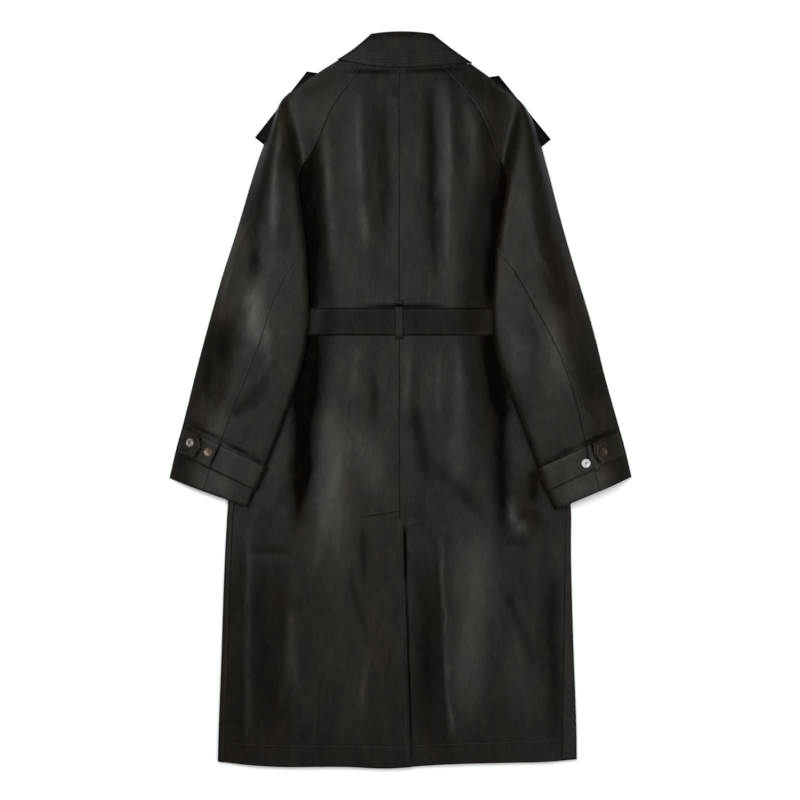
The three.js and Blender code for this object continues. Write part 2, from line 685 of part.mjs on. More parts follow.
const seamOf = (side, v) => (v <= ringFrom ? 1 : Math.min(1, side.column.seamAt(v)));
const sleeveTopRow = (side, v) => {
  const row = [];
  for (let j = 0; j <= sleeveColumns; j += 1) {
    const q = seamOf(side, v) * j / sleeveColumns;
    row.push(sleeveSkin(side, v, q, j === sleeveColumns ? -seamGap / 2 : 0));
  }
  return row;
};
const sleeveUnderRow = (side, v) => {
  const seam = seamOf(side, v);
  const turnTop = Math.max(topEnds, mix(seam, foldAt, 0.5));
  const stops = [seam, mix(seam, turnTop, 1 / 3), mix(seam, turnTop, 2 / 3), turnTop,
    mix(turnTop, foldAt, 0.5), foldAt, mix(foldAt, turnEnds, 0.5), turnEnds,
    mix(turnEnds, rampStarts, 1 / 3), mix(turnEnds, rampStarts, 2 / 3), rampStarts, 1];
  return stops.map((q, j) => sleeveSkin(side, v, q, j === 0 ? seamGap / 2 : 0));
};

// Level below which the walls of a sleeve's back pieces don't reach.
const lowPart = 12;
const overFront = (point) => (point.z < lowPart ? frontFloor(point.y) + cloth + restGap : 0);

// A front sleeve piece follows the raglan seam, then its own inner edge, then the foot of the under piece.
const raglanStations = 9;
const armholeStations = 12;
const footGap = 1.8;

function frontSleeveRow(side, v) {
  const at = side.column;
  const inners = frontSleeveInner[side.name];
  const outX = at.outX(v);
  const outY = at.outY(v);
  const inner = new THREE.Vector3();
  if (v < raglanStations) {
    inner.set(side.raglan(outY) - side.inward * seamGap, outY, 0);
  } else if (v < armholeStations) {
    inner.set(inners[v - raglanStations], outY, 0);
  } else {
    const foot = sleevePoint(side, v, 1);
    inner.set(foot.x - side.inward * footGap, foot.y, 0);
  }
  const row = [];
  const columns = 4;
  for (let j = 0; j <= columns; j += 1) {
    const x = mix(outX, inner.x, j / columns);
    const y = mix(outY, inner.y, j / columns);
    row.push({ point: new THREE.Vector3(x, y, frontFloor(y)), normal: new THREE.Vector3(0, 0, -1) });
  }
  return row;
}

for (const side of Object.values(sides)) {
  const topRows = sleeveStations.map((v) => sleeveTopRow(side, v));
  const underRows = underStations.map((v) => sleeveUnderRow(side, v));
  const frontRows = [...Array(lastStation + 1).keys()].map((v) => frontSleeveRow(side, v));
  coat.add(wall(`sleeve_back_${side.name}`, topRows, cloth, leather, 0, overFront));
  coat.add(wall(`sleeve_under_${side.name}`, underRows, cloth, leather));
  coat.add(wall(`sleeve_front_${side.name}`, frontRows, cloth, innerLeather));
}

// Belt: over the back, round each side edge, and below the fronts to the centre.
function beltHalf(side, y) {
  const { inward } = side;
  const down = new THREE.Vector3(0, 0, -1);
  const floorEnd = side.edge(y) + inward * edgeRoll;
  const run = [centreSeam - inward * seamGap / 2, floorEnd * 0.35, floorEnd * 0.7].map((x) => (
    { point: new THREE.Vector3(x, y, frontFloor(y)), normal: down.clone() }));
  const turned = [1, 1.25, 1.5, 1.75, 2, 3].map((u) => {
    const point = (pu, pv) => frontPoint(side, u + pu, y + pv);
    return skinAt(point, 0, 0, side.inward);
  });
  const index = raglanRows(side).length + lowerRows.indexOf(y);
  return [...run, ...turned, ...backGrids[side.name][index]];
}

const beltGrid = [beltHigh, 131, beltLow].map((y) => (
  [...beltHalf(sides.left, y), ...beltHalf(sides.right, y).reverse()]));
coat.add(wall('belt', beltGrid, beltThick, leather, beltGapInside));

// A narrow loop that rises from what it is sewn to, over a strap, and down again.
function loopGrid(stops, columns, place) {
  return stops.map((stop) => columns.map((across) => place(across, stop)));
}

const beltLoopStops = [
  { y: loopTop, over: 0.5 },
  { y: beltHigh + 4.5, over: 0.7 },
  { y: beltHigh + 1.2, over: beltGapInside + beltThick + 0.4 },
  { y: 131, over: beltGapInside + beltThick + 0.5 },
  { y: beltLow - 1.2, over: beltGapInside + beltThick + 0.4 },
  { y: loopBottom, over: 0.7 },
];
coat.add(wall('belt_loop', loopGrid(beltLoopStops, [-loopWide / 2, 0, loopWide / 2], (across, stop) => {
  const x = loopCentre + across;
  const point = new THREE.Vector3(x, stop.y, backTop(x, stop.y) + stop.over + loopThick);
  return { point, normal: new THREE.Vector3(0, 0, 1) };
}), loopThick, leather));

// Cuff straps: on the sleeve from its outer edge over the inner fold.
const strapRows = [strapStart, 17.5, strapEnd];
for (const side of Object.values(sides)) {
  const grid = strapRows.map((v) => {
    const skins = sleeveTopRow(side, v).slice(1);
    const seam = seamOf(side, v);
    const stops = [seam, mix(seam, topEnds, 1 / 3), mix(seam, topEnds, 2 / 3), topEnds, 0.45, foldAt, 0.61];
    return [...skins, ...stops.map((q, j) => sleeveSkin(side, v, q, j === 0 ? seamGap / 2 : 0))];
  });
  coat.add(wall(`cuff_strap_${side.name}`, grid, strapThick, leather, strapGap));
}

// Pointed tabs on the straps, from the outer edge.
const tabs = {
  left: { start: 0.02, end: 0.086, tip: 0.112 },
  right: { start: 0.02, end: 0.122, tip: 0.134 },
};
const tabRaised = strapGap + strapThick + 0.4;
const tabThick = 1.8;
for (const side of Object.values(sides)) {
  const tab = tabs[side.name];
  const grid = [17.07, 17.28, 17.5, 17.72, 17.93].map((v) => {
    const end = mix(tab.end, tab.tip, 1 - Math.abs(v - 17.5) / 0.43);
    return [0, 0.25, 0.5, 0.75, 1].map((t) => sleeveSkin(side, v, mix(tab.start, end, t)));
  });
  coat.add(wall(`cuff_tab_${side.name}`, grid, tabThick, leather, tabRaised));
}

// The narrow loop on the right cuff, which the strap runs through.
const cuffLoopStops = [
  { v: 16.86, over: 0.5 },
  { v: 16.96, over: 0.9 },
  { v: 16.99, over: strapGap + strapThick + 0.4 },
  { v: 17.5, over: strapGap + strapThick + 0.5 },
  { v: 18.01, over: strapGap + strapThick + 0.4 },
  { v: 18.05, over: 0.9 },
  { v: 18.12, over: 0.5 },
];
const cuffLoopHalf = 0.0095;
coat.add(wall('cuff_loop_right', loopGrid(cuffLoopStops, [-cuffLoopHalf, cuffLoopHalf], (across, stop) => {
  const skin = sleeveSkin(sides.right, stop.v, mix(0.158, 0.147, stop.v - strapStart) + across);
  skin.point.addScaledVector(skin.normal, stop.over + loopThick);
  return skin;
}), loopThick, leather));

// Buttons: a dished disc with a rolled rim, set on the strap or on the tab.
function buttonGeometry() {
  const profile = [
    new THREE.Vector2(0, 0),
    new THREE.Vector2(buttonRadius - 1.6, 0),
    new THREE.Vector2(buttonRadius, 1.3),
    new THREE.Vector2(buttonRadius - 0.5, buttonThick),
    new THREE.Vector2(buttonRadius - 1.8, buttonThick),
    new THREE.Vector2(buttonRadius - 3.0, buttonThick - 0.9),
    new THREE.Vector2(0, buttonThick - 0.9),
  ];
  return new THREE.LatheGeometry(profile, 18);
}

// The place on a sleeve's top that lies under a point of the plan.
function underPoint(side, x, y) {
  let best = null;
  for (let v = 16.8; v <= 18.2; v += 0.02) {
    for (let q = 0.03; q <= 0.34; q += 0.004) {
      const point = sleevePoint(side, v, q);
      const gap = Math.hypot(point.x - x, point.y - y);
      if (!best || gap < best.gap) {
        best = { gap, v, q };
      }
    }
  }
  return sleeveSkin(side, best.v, best.q);
}

const onStrap = strapGap + strapThick + 0.5;
const onTab = tabRaised + tabThick + 0.6;
const buttons = [
  { name: 'button_left_outer', side: sides.left, x: -350, y: -74, raised: onTab, finish: horn },
  { name: 'button_left_inner', side: sides.left, x: -321, y: -88, raised: onStrap, finish: darkHorn },
  { name: 'button_right_inner', side: sides.right, x: 311, y: -107, raised: onStrap, finish: horn },
  { name: 'button_right_outer', side: sides.right, x: 338, y: -88, raised: onTab, finish: darkHorn },
];
const lathedUp = new THREE.Vector3(0, 1, 0);
for (const { name, side, x, y, raised, finish } of buttons) {
  const skin = underPoint(side, x, y);
  const button = new THREE.Mesh(buttonGeometry(), finish);
  button.name = name;
  button.position.copy(skin.point).addScaledVector(skin.normal, raised);
  button.quaternion.setFromUnitVectors(lathedUp, skin.normal);
  coat.add(button);
}

// Epaulettes: straps with a pointed end at the collar, below the shoulders, beyond whose line they show.
const epaulettes = [
  { name: 'epaulette_left', endX: -246, endY: 442, collarX: -158, collarY: 554, inward: 1 },
  { name: 'epaulette_right', endX: 254, endY: 439, collarX: 166, collarY: 547, inward: -1 },
];
const epauletteWide = 50;
const epaulettePoint = 14;
for (const { name, endX, endY, collarX, collarY, inward } of epaulettes) {
  const along = new THREE.Vector3(collarX - endX, collarY - endY, 0);
  const length = along.length();
  along.normalize();
  const across = new THREE.Vector3(along.y * inward, -along.x * inward, 0);
  const grid = [0, 0.25, 0.5, 0.75, 1].map((w) => [0, 0.25, 0.5, 0.75, 1].map((t) => {
    const reach = length + epaulettePoint * (1 - Math.abs(2 * w - 1));
    const point = new THREE.Vector3(endX, endY, 0);
    point.addScaledVector(along, reach * t).addScaledVector(across, epauletteWide * w);
    return { point, normal: new THREE.Vector3(0, 0, -1) };
  }));
  coat.add(wall(name, grid, epauletteThick, innerLeather));
}

// Collar: two flattened rings round the neck, open at the front below. The fall is the outer one, from the
// fold at the top to its free edge on the back, and the stand lies within it.
const collarTop = { left: -52, right: 57, y: 619.5, sag: 4.5 };
const collarFoot = { left: -107, right: 121 };
const collarEdge = curveOf([
  { x: -110, y: 574.5 },
  { x: -99, y: 572 },
  { x: -60, y: 563 },
  { x: -8, y: 558.7 },
  { x: 33, y: 560 },
  { x: 82, y: 563.6 },
  { x: 110, y: 566.8 },
  { x: 122, y: 568.5 },
], 'x', 'y');
const collarTurn = 6;
const collarHigh = 15.6;
const standInset = collarCloth + 0.5;

// The fold at the top, a little lower towards its ends.
function foldLine(x) {
  const middle = (collarTop.left + collarTop.right) / 2;
  const half = (collarTop.right - collarTop.left) / 2;
  return collarTop.y - collarTop.sag * Math.min(1, ((x - middle) / half) ** 2);
}

function collarPoint(u, v, inset) {
  const slanted = 1.6 * inset;
  const left = mix(collarTop.left, collarFoot.left, v) + slanted;
  const right = mix(collarTop.right, collarFoot.right, v) - slanted;
  const turn = collarTurn - inset * 0.7;
  const opening = (right - left) * 0.3;
  const stops = [left + opening, left + turn, left + turn, right - turn, right - turn, right - opening];
  const bottom = inset;
  const tops = (x) => {
    const y = mix(foldLine(x), collarEdge(x), v);
    const resting = backTop(x, Math.min(y, 571)) + collarCloth + 1.2;
    return mix(collarHigh, resting, v * v) - 2 * (1 - ease(0, 0.16, v)) - inset;
  };
  let x = 0;
  let z = bottom;
  if (u <= 1) {
    x = mix(stops[0], stops[1], u);
  } else if (u <= 2) {
    const angle = (u - 1) * Math.PI;
    x = stops[1] - turn * Math.sin(angle);
    z = mix(bottom, tops(stops[1]), (1 - Math.cos(angle)) / 2);
  } else if (u <= 4) {
    x = mix(stops[2], stops[3], (u - 2) / 2);
    z = tops(x);
  } else if (u <= 5) {
    const angle = (u - 4) * Math.PI;
    x = stops[3] + turn * Math.sin(angle);
    z = mix(tops(stops[3]), bottom, (1 - Math.cos(angle)) / 2);
  } else {
    x = mix(stops[4], stops[5], u - 5);
  }
  return new THREE.Vector3(x, mix(foldLine(x), collarEdge(x), v), z);
}

const collarColumns = [0, 0.5, 1, 1.25, 1.5, 1.75, 2, 2.25, 2.5, 2.75, 3, 3.25, 3.5, 3.75, 4, 4.25, 4.5,
  4.75, 5, 5.5, 6];
function collarGrid(rows, inset) {
  return rows.map((v) => collarColumns.map((u) => {
    const point = (pu, pv) => collarPoint(u + pu, v + pv * 0.1, inset);
    return skinAt(point, 0, 0, -1);
  }));
}
coat.add(wall('collar_fall', collarGrid([0, 0.06, 0.16, 0.4, 0.7, 1], 0), collarCloth, leather));
coat.add(wall('collar_stand', collarGrid([0.01, 0.06, 0.16, 0.45, 0.785], standInset), cloth, innerLeather));

coat.updateMatrixWorld(true);
const box = new THREE.Box3().setFromObject(coat);
const centre = box.getCenter(new THREE.Vector3());
coat.position.set(-centre.x, -centre.y, -box.min.z);

export default coat;
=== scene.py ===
import math
import bmesh
import bpy
import numpy as np
from mathutils import Matrix, Vector, noise
from mathutils.bvhtree import BVHTree


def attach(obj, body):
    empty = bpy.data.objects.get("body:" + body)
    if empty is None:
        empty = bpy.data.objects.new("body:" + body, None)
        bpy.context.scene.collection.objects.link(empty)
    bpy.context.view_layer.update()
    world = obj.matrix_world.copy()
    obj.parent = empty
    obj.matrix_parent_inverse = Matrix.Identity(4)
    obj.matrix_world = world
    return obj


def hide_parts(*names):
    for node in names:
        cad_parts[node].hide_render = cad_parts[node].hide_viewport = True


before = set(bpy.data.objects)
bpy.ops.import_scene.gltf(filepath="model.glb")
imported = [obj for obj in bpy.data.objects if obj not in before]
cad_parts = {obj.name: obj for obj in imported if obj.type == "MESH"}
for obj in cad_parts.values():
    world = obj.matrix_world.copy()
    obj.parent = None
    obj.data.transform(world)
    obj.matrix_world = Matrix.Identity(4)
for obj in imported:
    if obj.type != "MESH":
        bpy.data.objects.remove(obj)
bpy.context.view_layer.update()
scene = bpy.context.scene
mm = 0.001


# Finishes

def nodeTree(name):
    material = bpy.data.materials.new(name)
    material.use_nodes = True
    nodes = material.node_tree.nodes
    links = material.node_tree.links
    return material, nodes, links, nodes["Principled BSDF"]


def noiseOn(nodes, links, place, scale, detail, roughness=0.5, distortion=0.0):
    texture = nodes.new("ShaderNodeTexNoise")
    texture.inputs["Scale"].default_value = scale
    texture.inputs["Detail"].default_value = detail
    texture.inputs["Roughness"].default_value = roughness
    texture.inputs["Distortion"].default_value = distortion
    links.new(place, texture.inputs["Vector"])
    return texture


def rampOf(nodes, links, value, stops):
    ramp = nodes.new("ShaderNodeValToRGB")
    elements = ramp.color_ramp.elements
    while len(elements) < len(stops):
        elements.new(0.5)
    for element, (position, color) in zip(elements, stops):
        element.position = position
        element.color = (*color, 1.0)
    links.new(value, ramp.inputs["Fac"])
    return ramp


waxedLeather = {
    "deep": (0.0020, 0.0014, 0.0010),
    "plain": (0.0056, 0.0042, 0.0030),
    "wornAndLit": (0.0125, 0.0100, 0.0074),
    "mottleScale": 46.0,
    "grainScale": 620.0,
    "threadScale": 300.0,
    "roughness": (0.42, 0.54),
    "fibreScale": 190.0,
    "brownCast": (1.04, 0.86, 0.70),
    "oliveCast": (0.86, 0.96, 0.80),
    "warmth": (1.0, 0.972, 0.925),
    "specular": 0.26,
    "paintedLightInTone": 0.22,
    "paintedSheen": (0.04, 1.1),
    "grainHeight": 0.00022,
    "wrinkleHeight": 0.0005,
}


# A painted-shade factor below 1 makes a painted-shade copy of the leather: every colour and the sheen are
# scaled down.
def leatherFinish(name, paintedShadeFactor=1.0):
    look = waxedLeather
    material, nodes, links, shader = nodeTree(name)
    place = nodes.new("ShaderNodeTexCoord").outputs["Object"]
    # This point attribute carries the painted shade (below 0) and the painted highlights (above 0) into the
    # colour and the sheen.
    gloss = nodes.new("ShaderNodeAttribute")
    gloss.attribute_name = "gloss"
    upright = nodes.new("ShaderNodeMapping")
    upright.inputs["Scale"].default_value = (1.0, 0.35, 1.0)
    links.new(place, upright.inputs["Vector"])
    mottle = noiseOn(nodes, links, upright.outputs["Vector"], look["mottleScale"], 8.0, 0.66, 0.3)
    fibres = noiseOn(nodes, links, upright.outputs["Vector"], look["fibreScale"], 6.0, 0.70)
    flecked = nodes.new("ShaderNodeMix")
    flecked.inputs["Factor"].default_value = 0.42
    links.new(mottle.outputs["Fac"], flecked.inputs["A"])
    links.new(fibres.outputs["Fac"], flecked.inputs["B"])
    # Base tone: random mottle plus painted light. Painted shade darkens the colour in the hollows, and
    # painted highlights lighten it on the crests.
    mottleAndPaintedLight = nodes.new("ShaderNodeMath")
    mottleAndPaintedLight.operation = "MULTIPLY_ADD"
    mottleAndPaintedLight.inputs[1].default_value = look["paintedLightInTone"]
    links.new(gloss.outputs["Fac"], mottleAndPaintedLight.inputs[0])
    links.new(flecked.outputs["Result"], mottleAndPaintedLight.inputs[2])
    tone = rampOf(nodes, links, mottleAndPaintedLight.outputs[0], [
        (0.28, [c * paintedShadeFactor for c in look["deep"]]),
        (0.50, [c * paintedShadeFactor for c in look["plain"]]),
        (0.72, [c * paintedShadeFactor for c in look["wornAndLit"]]),
    ])
    blotches = noiseOn(nodes, links, upright.outputs["Vector"], 16.0, 4.0)
    mottled = rampOf(nodes, links, blotches.outputs["Fac"],
                     [(0.40, look["brownCast"]), (0.60, look["oliveCast"])])
    cast = nodes.new("ShaderNodeMix")
    cast.data_type = "RGBA"
    cast.blend_type = "MULTIPLY"
    cast.inputs[0].default_value = 1.0
    links.new(tone.outputs["Color"], cast.inputs[6])
    links.new(mottled.outputs["Color"], cast.inputs[7])
    links.new(cast.outputs[2], shader.inputs["Base Color"])
    # Painted sheen: the specular tint follows the painted light. It is dull in the painted shade and bright
    # in the painted highlights, broken up by the fibres.
    paintedSheenRange = nodes.new("ShaderNodeMapRange")
    paintedSheenRange.inputs["From Min"].default_value = -1.0
    paintedSheenRange.inputs["To Min"].default_value = look["paintedSheen"][0] * paintedShadeFactor
    paintedSheenRange.inputs["To Max"].default_value = look["paintedSheen"][1] * paintedShadeFactor
    links.new(gloss.outputs["Fac"], paintedSheenRange.inputs["Value"])
    paintedSheen = nodes.new("ShaderNodeMath")
    paintedSheen.operation = "POWER"
    paintedSheen.inputs[1].default_value = 1.6
    links.new(paintedSheenRange.outputs["Result"], paintedSheen.inputs[0])
    broken = nodes.new("ShaderNodeMapRange")
    broken.inputs["From Min"].default_value = 0.3
    broken.inputs["From Max"].default_value = 0.7
    broken.inputs["To Min"].default_value = 0.80
    broken.inputs["To Max"].default_value = 1.20
    links.new(flecked.outputs["Result"], broken.inputs["Value"])
    paintedSheenGrained = nodes.new("ShaderNodeMath")
    paintedSheenGrained.operation = "MULTIPLY"
    links.new(paintedSheen.outputs[0], paintedSheenGrained.inputs[0])
    links.new(broken.outputs["Result"], paintedSheenGrained.inputs[1])
    warm = nodes.new("ShaderNodeMix")
    warm.data_type = "RGBA"
    warm.blend_type = "MULTIPLY"
    warm.inputs[0].default_value = 1.0
    warm.inputs[7].default_value = (*look["warmth"], 1.0)
    links.new(paintedSheenGrained.outputs[0], warm.inputs[6])
    links.new(warm.outputs[2], shader.inputs["Specular Tint"])
    rough = nodes.new("ShaderNodeMapRange")
    rough.inputs["To Min"].default_value = look["roughness"][0]
    rough.inputs["To Max"].default_value = look["roughness"][1]
    links.new(noiseOn(nodes, links, place, 60.0, 4.0, 0.6).outputs["Fac"], rough.inputs["Value"])
    links.new(rough.outputs["Result"], shader.inputs["Roughness"])
    shader.inputs["Specular IOR Level"].default_value = look["specular"]

    pebbles = nodes.new("ShaderNodeTexVoronoi")
    pebbles.inputs["Scale"].default_value = look["grainScale"]
    links.new(place, pebbles.inputs["Vector"])
    grain = nodes.new("ShaderNodeBump")
    grain.inputs["Strength"].default_value = 0.5
    grain.inputs["Distance"].default_value = look["grainHeight"]
    links.new(pebbles.outputs["Distance"], grain.inputs["Height"])

    slant = nodes.new("ShaderNodeMapping")
    slant.inputs["Scale"].default_value = (1.0, 0.22, 1.0)
    links.new(place, slant.inputs["Vector"])
    threads = noiseOn(nodes, links, slant.outputs["Vector"], look["threadScale"], 3.0, 0.6, 0.6)
    fine = nodes.new("ShaderNodeBump")
    fine.inputs["Strength"].default_value = 0.35
    fine.inputs["Distance"].default_value = look["grainHeight"]
    links.new(threads.outputs["Fac"], fine.inputs["Height"])
    links.new(grain.outputs["Normal"], fine.inputs["Normal"])

    soft = noiseOn(nodes, links, place, 34.0, 3.0, 0.5, 0.3)
    wrinkle = nodes.new("ShaderNodeBump")
    wrinkle.inputs["Strength"].default_value = 0.45
    wrinkle.inputs["Distance"].default_value = look["wrinkleHeight"]
    links.new(soft.outputs["Fac"], wrinkle.inputs["Height"])
    links.new(fine.outputs["Normal"], wrinkle.inputs["Normal"])
    links.new(wrinkle.outputs["Normal"], shader.inputs["Normal"])
    return material


def plainFinish(name, stops, scale, roughness, specular=0.5, bump=0.0):
    material, nodes, links, shader = nodeTree(name)
    place = nodes.new("ShaderNodeTexCoord").outputs["Object"]
    pattern = noiseOn(nodes, links, place, scale, 4.0, 0.6, 1.2)
    tone = rampOf(nodes, links, pattern.outputs["Fac"], stops)
    links.new(tone.outputs["Color"], shader.inputs["Base Color"])
    shader.inputs["Roughness"].default_value = roughness
    shader.inputs["Specular IOR Level"].default_value = specular
    if bump:
        relief = nodes.new("ShaderNodeBump")
        relief.inputs["Strength"].default_value = 0.4
        relief.inputs["Distance"].default_value = bump
        links.new(pattern.outputs["Fac"], relief.inputs["Height"])
        links.new(relief.outputs["Normal"], shader.inputs["Normal"])
    return material


leather = leatherFinish("waxed_leather")
# A darker, duller copy of the leather: painted shade for the pieces that lie under the coat.
shadedLeather = leatherFinish("inner_leather", 0.4)
thread = plainFinish("waxed_thread", [(0.35, (0.012, 0.009, 0.007)), (0.65, (0.026, 0.021, 0.017))],
                     220.0, 0.55, 0.4)
darkThread = plainFinish("dark_thread", [(0.35, (0.0012, 0.0009, 0.0008)),
                                         (0.65, (0.0035, 0.0028, 0.0024))],
                         220.0, 0.7, 0.15)
paleHorn = plainFinish("pale_horn", [(0.32, (0.045, 0.030, 0.024)), (0.50, (0.12, 0.098, 0.085)),
                                     (0.66, (0.28, 0.26, 0.24))], 170.0, 0.35)
pearl = plainFinish("pearl", [(0.32, (0.30, 0.30, 0.29)), (0.52, (0.42, 0.42, 0.41)),
                              (0.70, (0.52, 0.52, 0.51))], 120.0, 0.3)
brownHorn = plainFinish("brown_horn", [(0.32, (0.022, 0.010, 0.006)), (0.52, (0.060, 0.034, 0.022)),
                                       (0.70, (0.13, 0.085, 0.055))], 170.0, 0.4)
darkHorn = plainFinish("dark_horn", [(0.32, (0.010, 0.005, 0.004)), (0.55, (0.030, 0.014, 0.010)),
                                     (0.75, (0.060, 0.030, 0.020))], 160.0, 0.45, 0.2)
floorPaper = plainFinish("floor_paper", [(0.3, (0.86, 0.86, 0.86)), (0.7, (0.875, 0.875, 0.875))],
                         3.0, 0.9, 0.1)


# Folds. Millimetres in the frame: from x, y to x, y, half-width, height.

backFolds = [
    (-70, 540, -64, 330, 9, 0.7),
    (-66, 420, -52, 190, 11, 0.8),
    (-30, 512, -27, 300, 11, -0.7),
    (13, 100, 14, -44, 11, 1.1),
    (62, 100, 63, -35, 11, 1.1),
    (56, 530, 56, 330, 9, -1.0),
    (56, 360, 58, 190, 12, -0.9),
    (82, 545, 84, 380, 8, 1.0),
    (84, 400, 78, 180, 9, 0.9),
    (30, 465, 30, 370, 14, 0.8),
    (-14, 530, -10, 500, 8, 0.6),
    (118, 500, 132, 380, 9, 0.9),
    (-130, 440, -120, 210, 12, 0.8),
    (-148, 330, -128, 170, 14, -1.2),
    (140, 330, 132, 180, 14, -1.2),
    (-148, 90, -150, -40, 16, -1.2),
    (-60, -270, -60, -575, 9, -0.7),
    (-262, -258, -176, -262, 9, -1.1),
    (168, -246, 220, -249, 8, -1.1),
    (-13, -205, -12, -246, 12, 0.5),
    (66, -240, 72, -430, 7, 1.2),
    (72, -410, 82, -590, 7, 1.3),
    (58, -260, 60, -560, 9, -0.9),
    (186, -265, 220, -372, 8, -1.0),
    (222, -360, 244, -500, 9, -1.0),
    (205, -200, 208, -240, 22, 0.7),
    (-184, -300, -196, -400, 9, 0.8),
    (-262, -205, -258, -400, 7, 0.7),
    (-258, -390, -262, -600, 7, 0.8),
    (-85, -90, -22, -150, 24, 0.7),
    (120, -70, 108, -190, 16, 0.7),
    (158, 70, 166, -60, 12, -1.0),
    (168, -60, 172, -240, 12, -0.8),
    (-110, -30, -150, -200, 16, 0.6),
    (150, -330, 176, -560, 19, 0.7),
    (-120, -420, -130, -600, 22, 0.6),
    (12, -330, 26, -560, 16, 0.6),
    (-44, 60, -48, -60, 8, -0.7),
    (100, 95, 104, 10, 8, 0.7),
    (-76, 92, -72, 10, 8, 0.8),
]

leftSleeveFolds = [
    (-236, 300, -282, 262, 7, 1.0),
    (-232, 262, -286, 232, 6, -1.0),
    (-262, 205, -306, 190, 6, 0.9),
    (-228, 190, -262, 150, 6, -0.8),
    (-262, 128, -318, 96, 6, 0.9),
    (-246, 92, -300, 78, 5, -0.9),
    (-284, 36, -330, 52, 6, 1.0),
    (-210, 78, -240, 22, 5, 0.9),
    (-300, -20, -336, -44, 6, 0.8),
    (-246, -20, -262, -88, 6, -0.8),
    (-188, 492, -206, 400, 9, 1.0),
    (-206, 410, -214, 330, 10, 1.2),
    (-216, 330, -208, 262, 12, 1.1),
    (-258, 250, -238, 210, 12, -1.4),
    (-290, 240, -300, 160, 12, 1.0),
    (-246, 180, -250, 110, 13, 1.2),
    (-292, 150, -306, 60, 10, -1.4),
    (-318, 120, -332, 30, 12, -1.4),
    (-336, 24, -322, -6, 9, -1.6),
    (-322, -6, -300, 14, 9, -1.4),
    (-220, 125, -216, 52, 10, 1.2),
    (-222, 34, -278, -34, 10, -1.6),
    (-212, 20, -262, -50, 12, 1.2),
    (-268, 70, -300, -20, 13, 1.0),
    (-345, -30, -338, -60, 10, -0.7),
]

rightSleeveFolds = [
    (228, 250, 262, 206, 7, 0.8),
    (212, 160, 240, 96, 7, -0.8),
    (286, 176, 306, 110, 6, -0.8),
    (248, 60, 300, 26, 6, 0.8),
    (222, 22, 258, -22, 6, -0.7),
    (296, -4, 338, -40, 6, 0.8),
    (240, -60, 292, -84, 5, 0.6),
    (188, 120, 196, 40, 13, 1.1),
    (196, 50, 214, -20, 13, 1.0),
    (262, 170, 270, 60, 14, 1.1),
    (272, 70, 268, 0, 16, 0.8),
    (228, 150, 238, 0, 12, -1.2),
    (318, 40, 330, 30, 10, -1.1),
    (214, 350, 236, 240, 10, 0.8),
    (300, 120, 316, 20, 13, -0.7),
    (200, 300, 190, 180, 13, 0.7),
    (250, -20, 262, -90, 16, 0.7),
]


# Painted light: painted shade (darker colour, less sheen) where the cloth falls into a hollow (below 0),
# painted highlights on the crests (above 0).
# From x, y to x, y, half-width, amount.

backPaintedLight = [
    (-158, 440, -162, 260, 19, -1.4),
    (-160, 320, -150, 130, 22, -1.3),
    (-146, 140, -166, -30, 19, -1.3),
    (-162, 50, -168, -170, 18, -1.3),
    (-166, -80, -176, -215, 13, -0.8),
    (176, 500, 178, 336, 10, -1.2),
    (176, 390, 146, 130, 17, -1.2),
    (142, 140, 172, -30, 16, -1.2),
    (168, 50, 172, -250, 12, -0.8),
    (224, -115, 226, -172, 13, -0.7),
    (-26, 522, -27, 268, 10, -0.45),
    (56, 539, 56, 184, 8, -0.55),
    (-43, 52, -43, -52, 8, -0.4),
    (42, -270, 46, -575, 20, -0.5),
    (-216, -260, -216, -590, 25, -0.3),
    (254, -272, 262, -600, 14, -0.45),
    (-69, 545, -67, 335, 12, 0.35),
    (-67, 335, -48, 250, 9, 0.4),
    (81, 545, 84, 168, 12, 0.5),
    (117, 505, 138, 370, 7, 0.35),
    (30, 454, 30, 370, 8, 0.25),
    (-125, 454, -122, 184, 9, 0.35),
    (-72, 91, -72, 0, 10, 0.3),
    (-115, 0, -105, -340, 30, 0.35),
    (13, 91, 14, -35, 6, 0.35),
    (62, 91, 63, -35, 6, 0.35),
    (100, 91, 104, -35, 8, 0.35),
    (68, -238, 75, -407, 4, 0.6),
    (75, -407, 84, -576, 4, 0.6),
    (130, -190, 112, -540, 30, 0.8),
    (196, -213, 214, -213, 10, 0.6),
    (284, -250, 288, -600, 9, 0.6),
    (-258, -205, -260, -600, 6, 0.35),
    (-125, -10, -108, -270, 26, 0.4),
    (-90, -300, -80, -600, 60, 0.16),
    (200, -330, 196, -560, 22, 0.25),
    (-184, -340, -174, -508, 8, 0.3),
    (-88, -20, -20, -190, 24, 0.42),
    (-100, -58, -151, -311, 10, 0.35),
    (-62, -205, -62, -311, 6, -0.4),
    (-90, -284, -53, -405, 7, -0.35),
    (-57, -405, -67, -527, 6, 0.35),
    (-180, -395, -207, -527, 9, 0.3),
    (-236, -190, -246, -602, 16, -0.25),
    (168, -311, 234, -453, 8, -0.4),
    (187, -152, 197, -236, 7, 0.5),
    (102, 0, 89, -152, 12, 0.35),
    (18, 0, 46, -142, 10, -0.45),
    (46, -95, 139, -189, 10, -0.3),
]

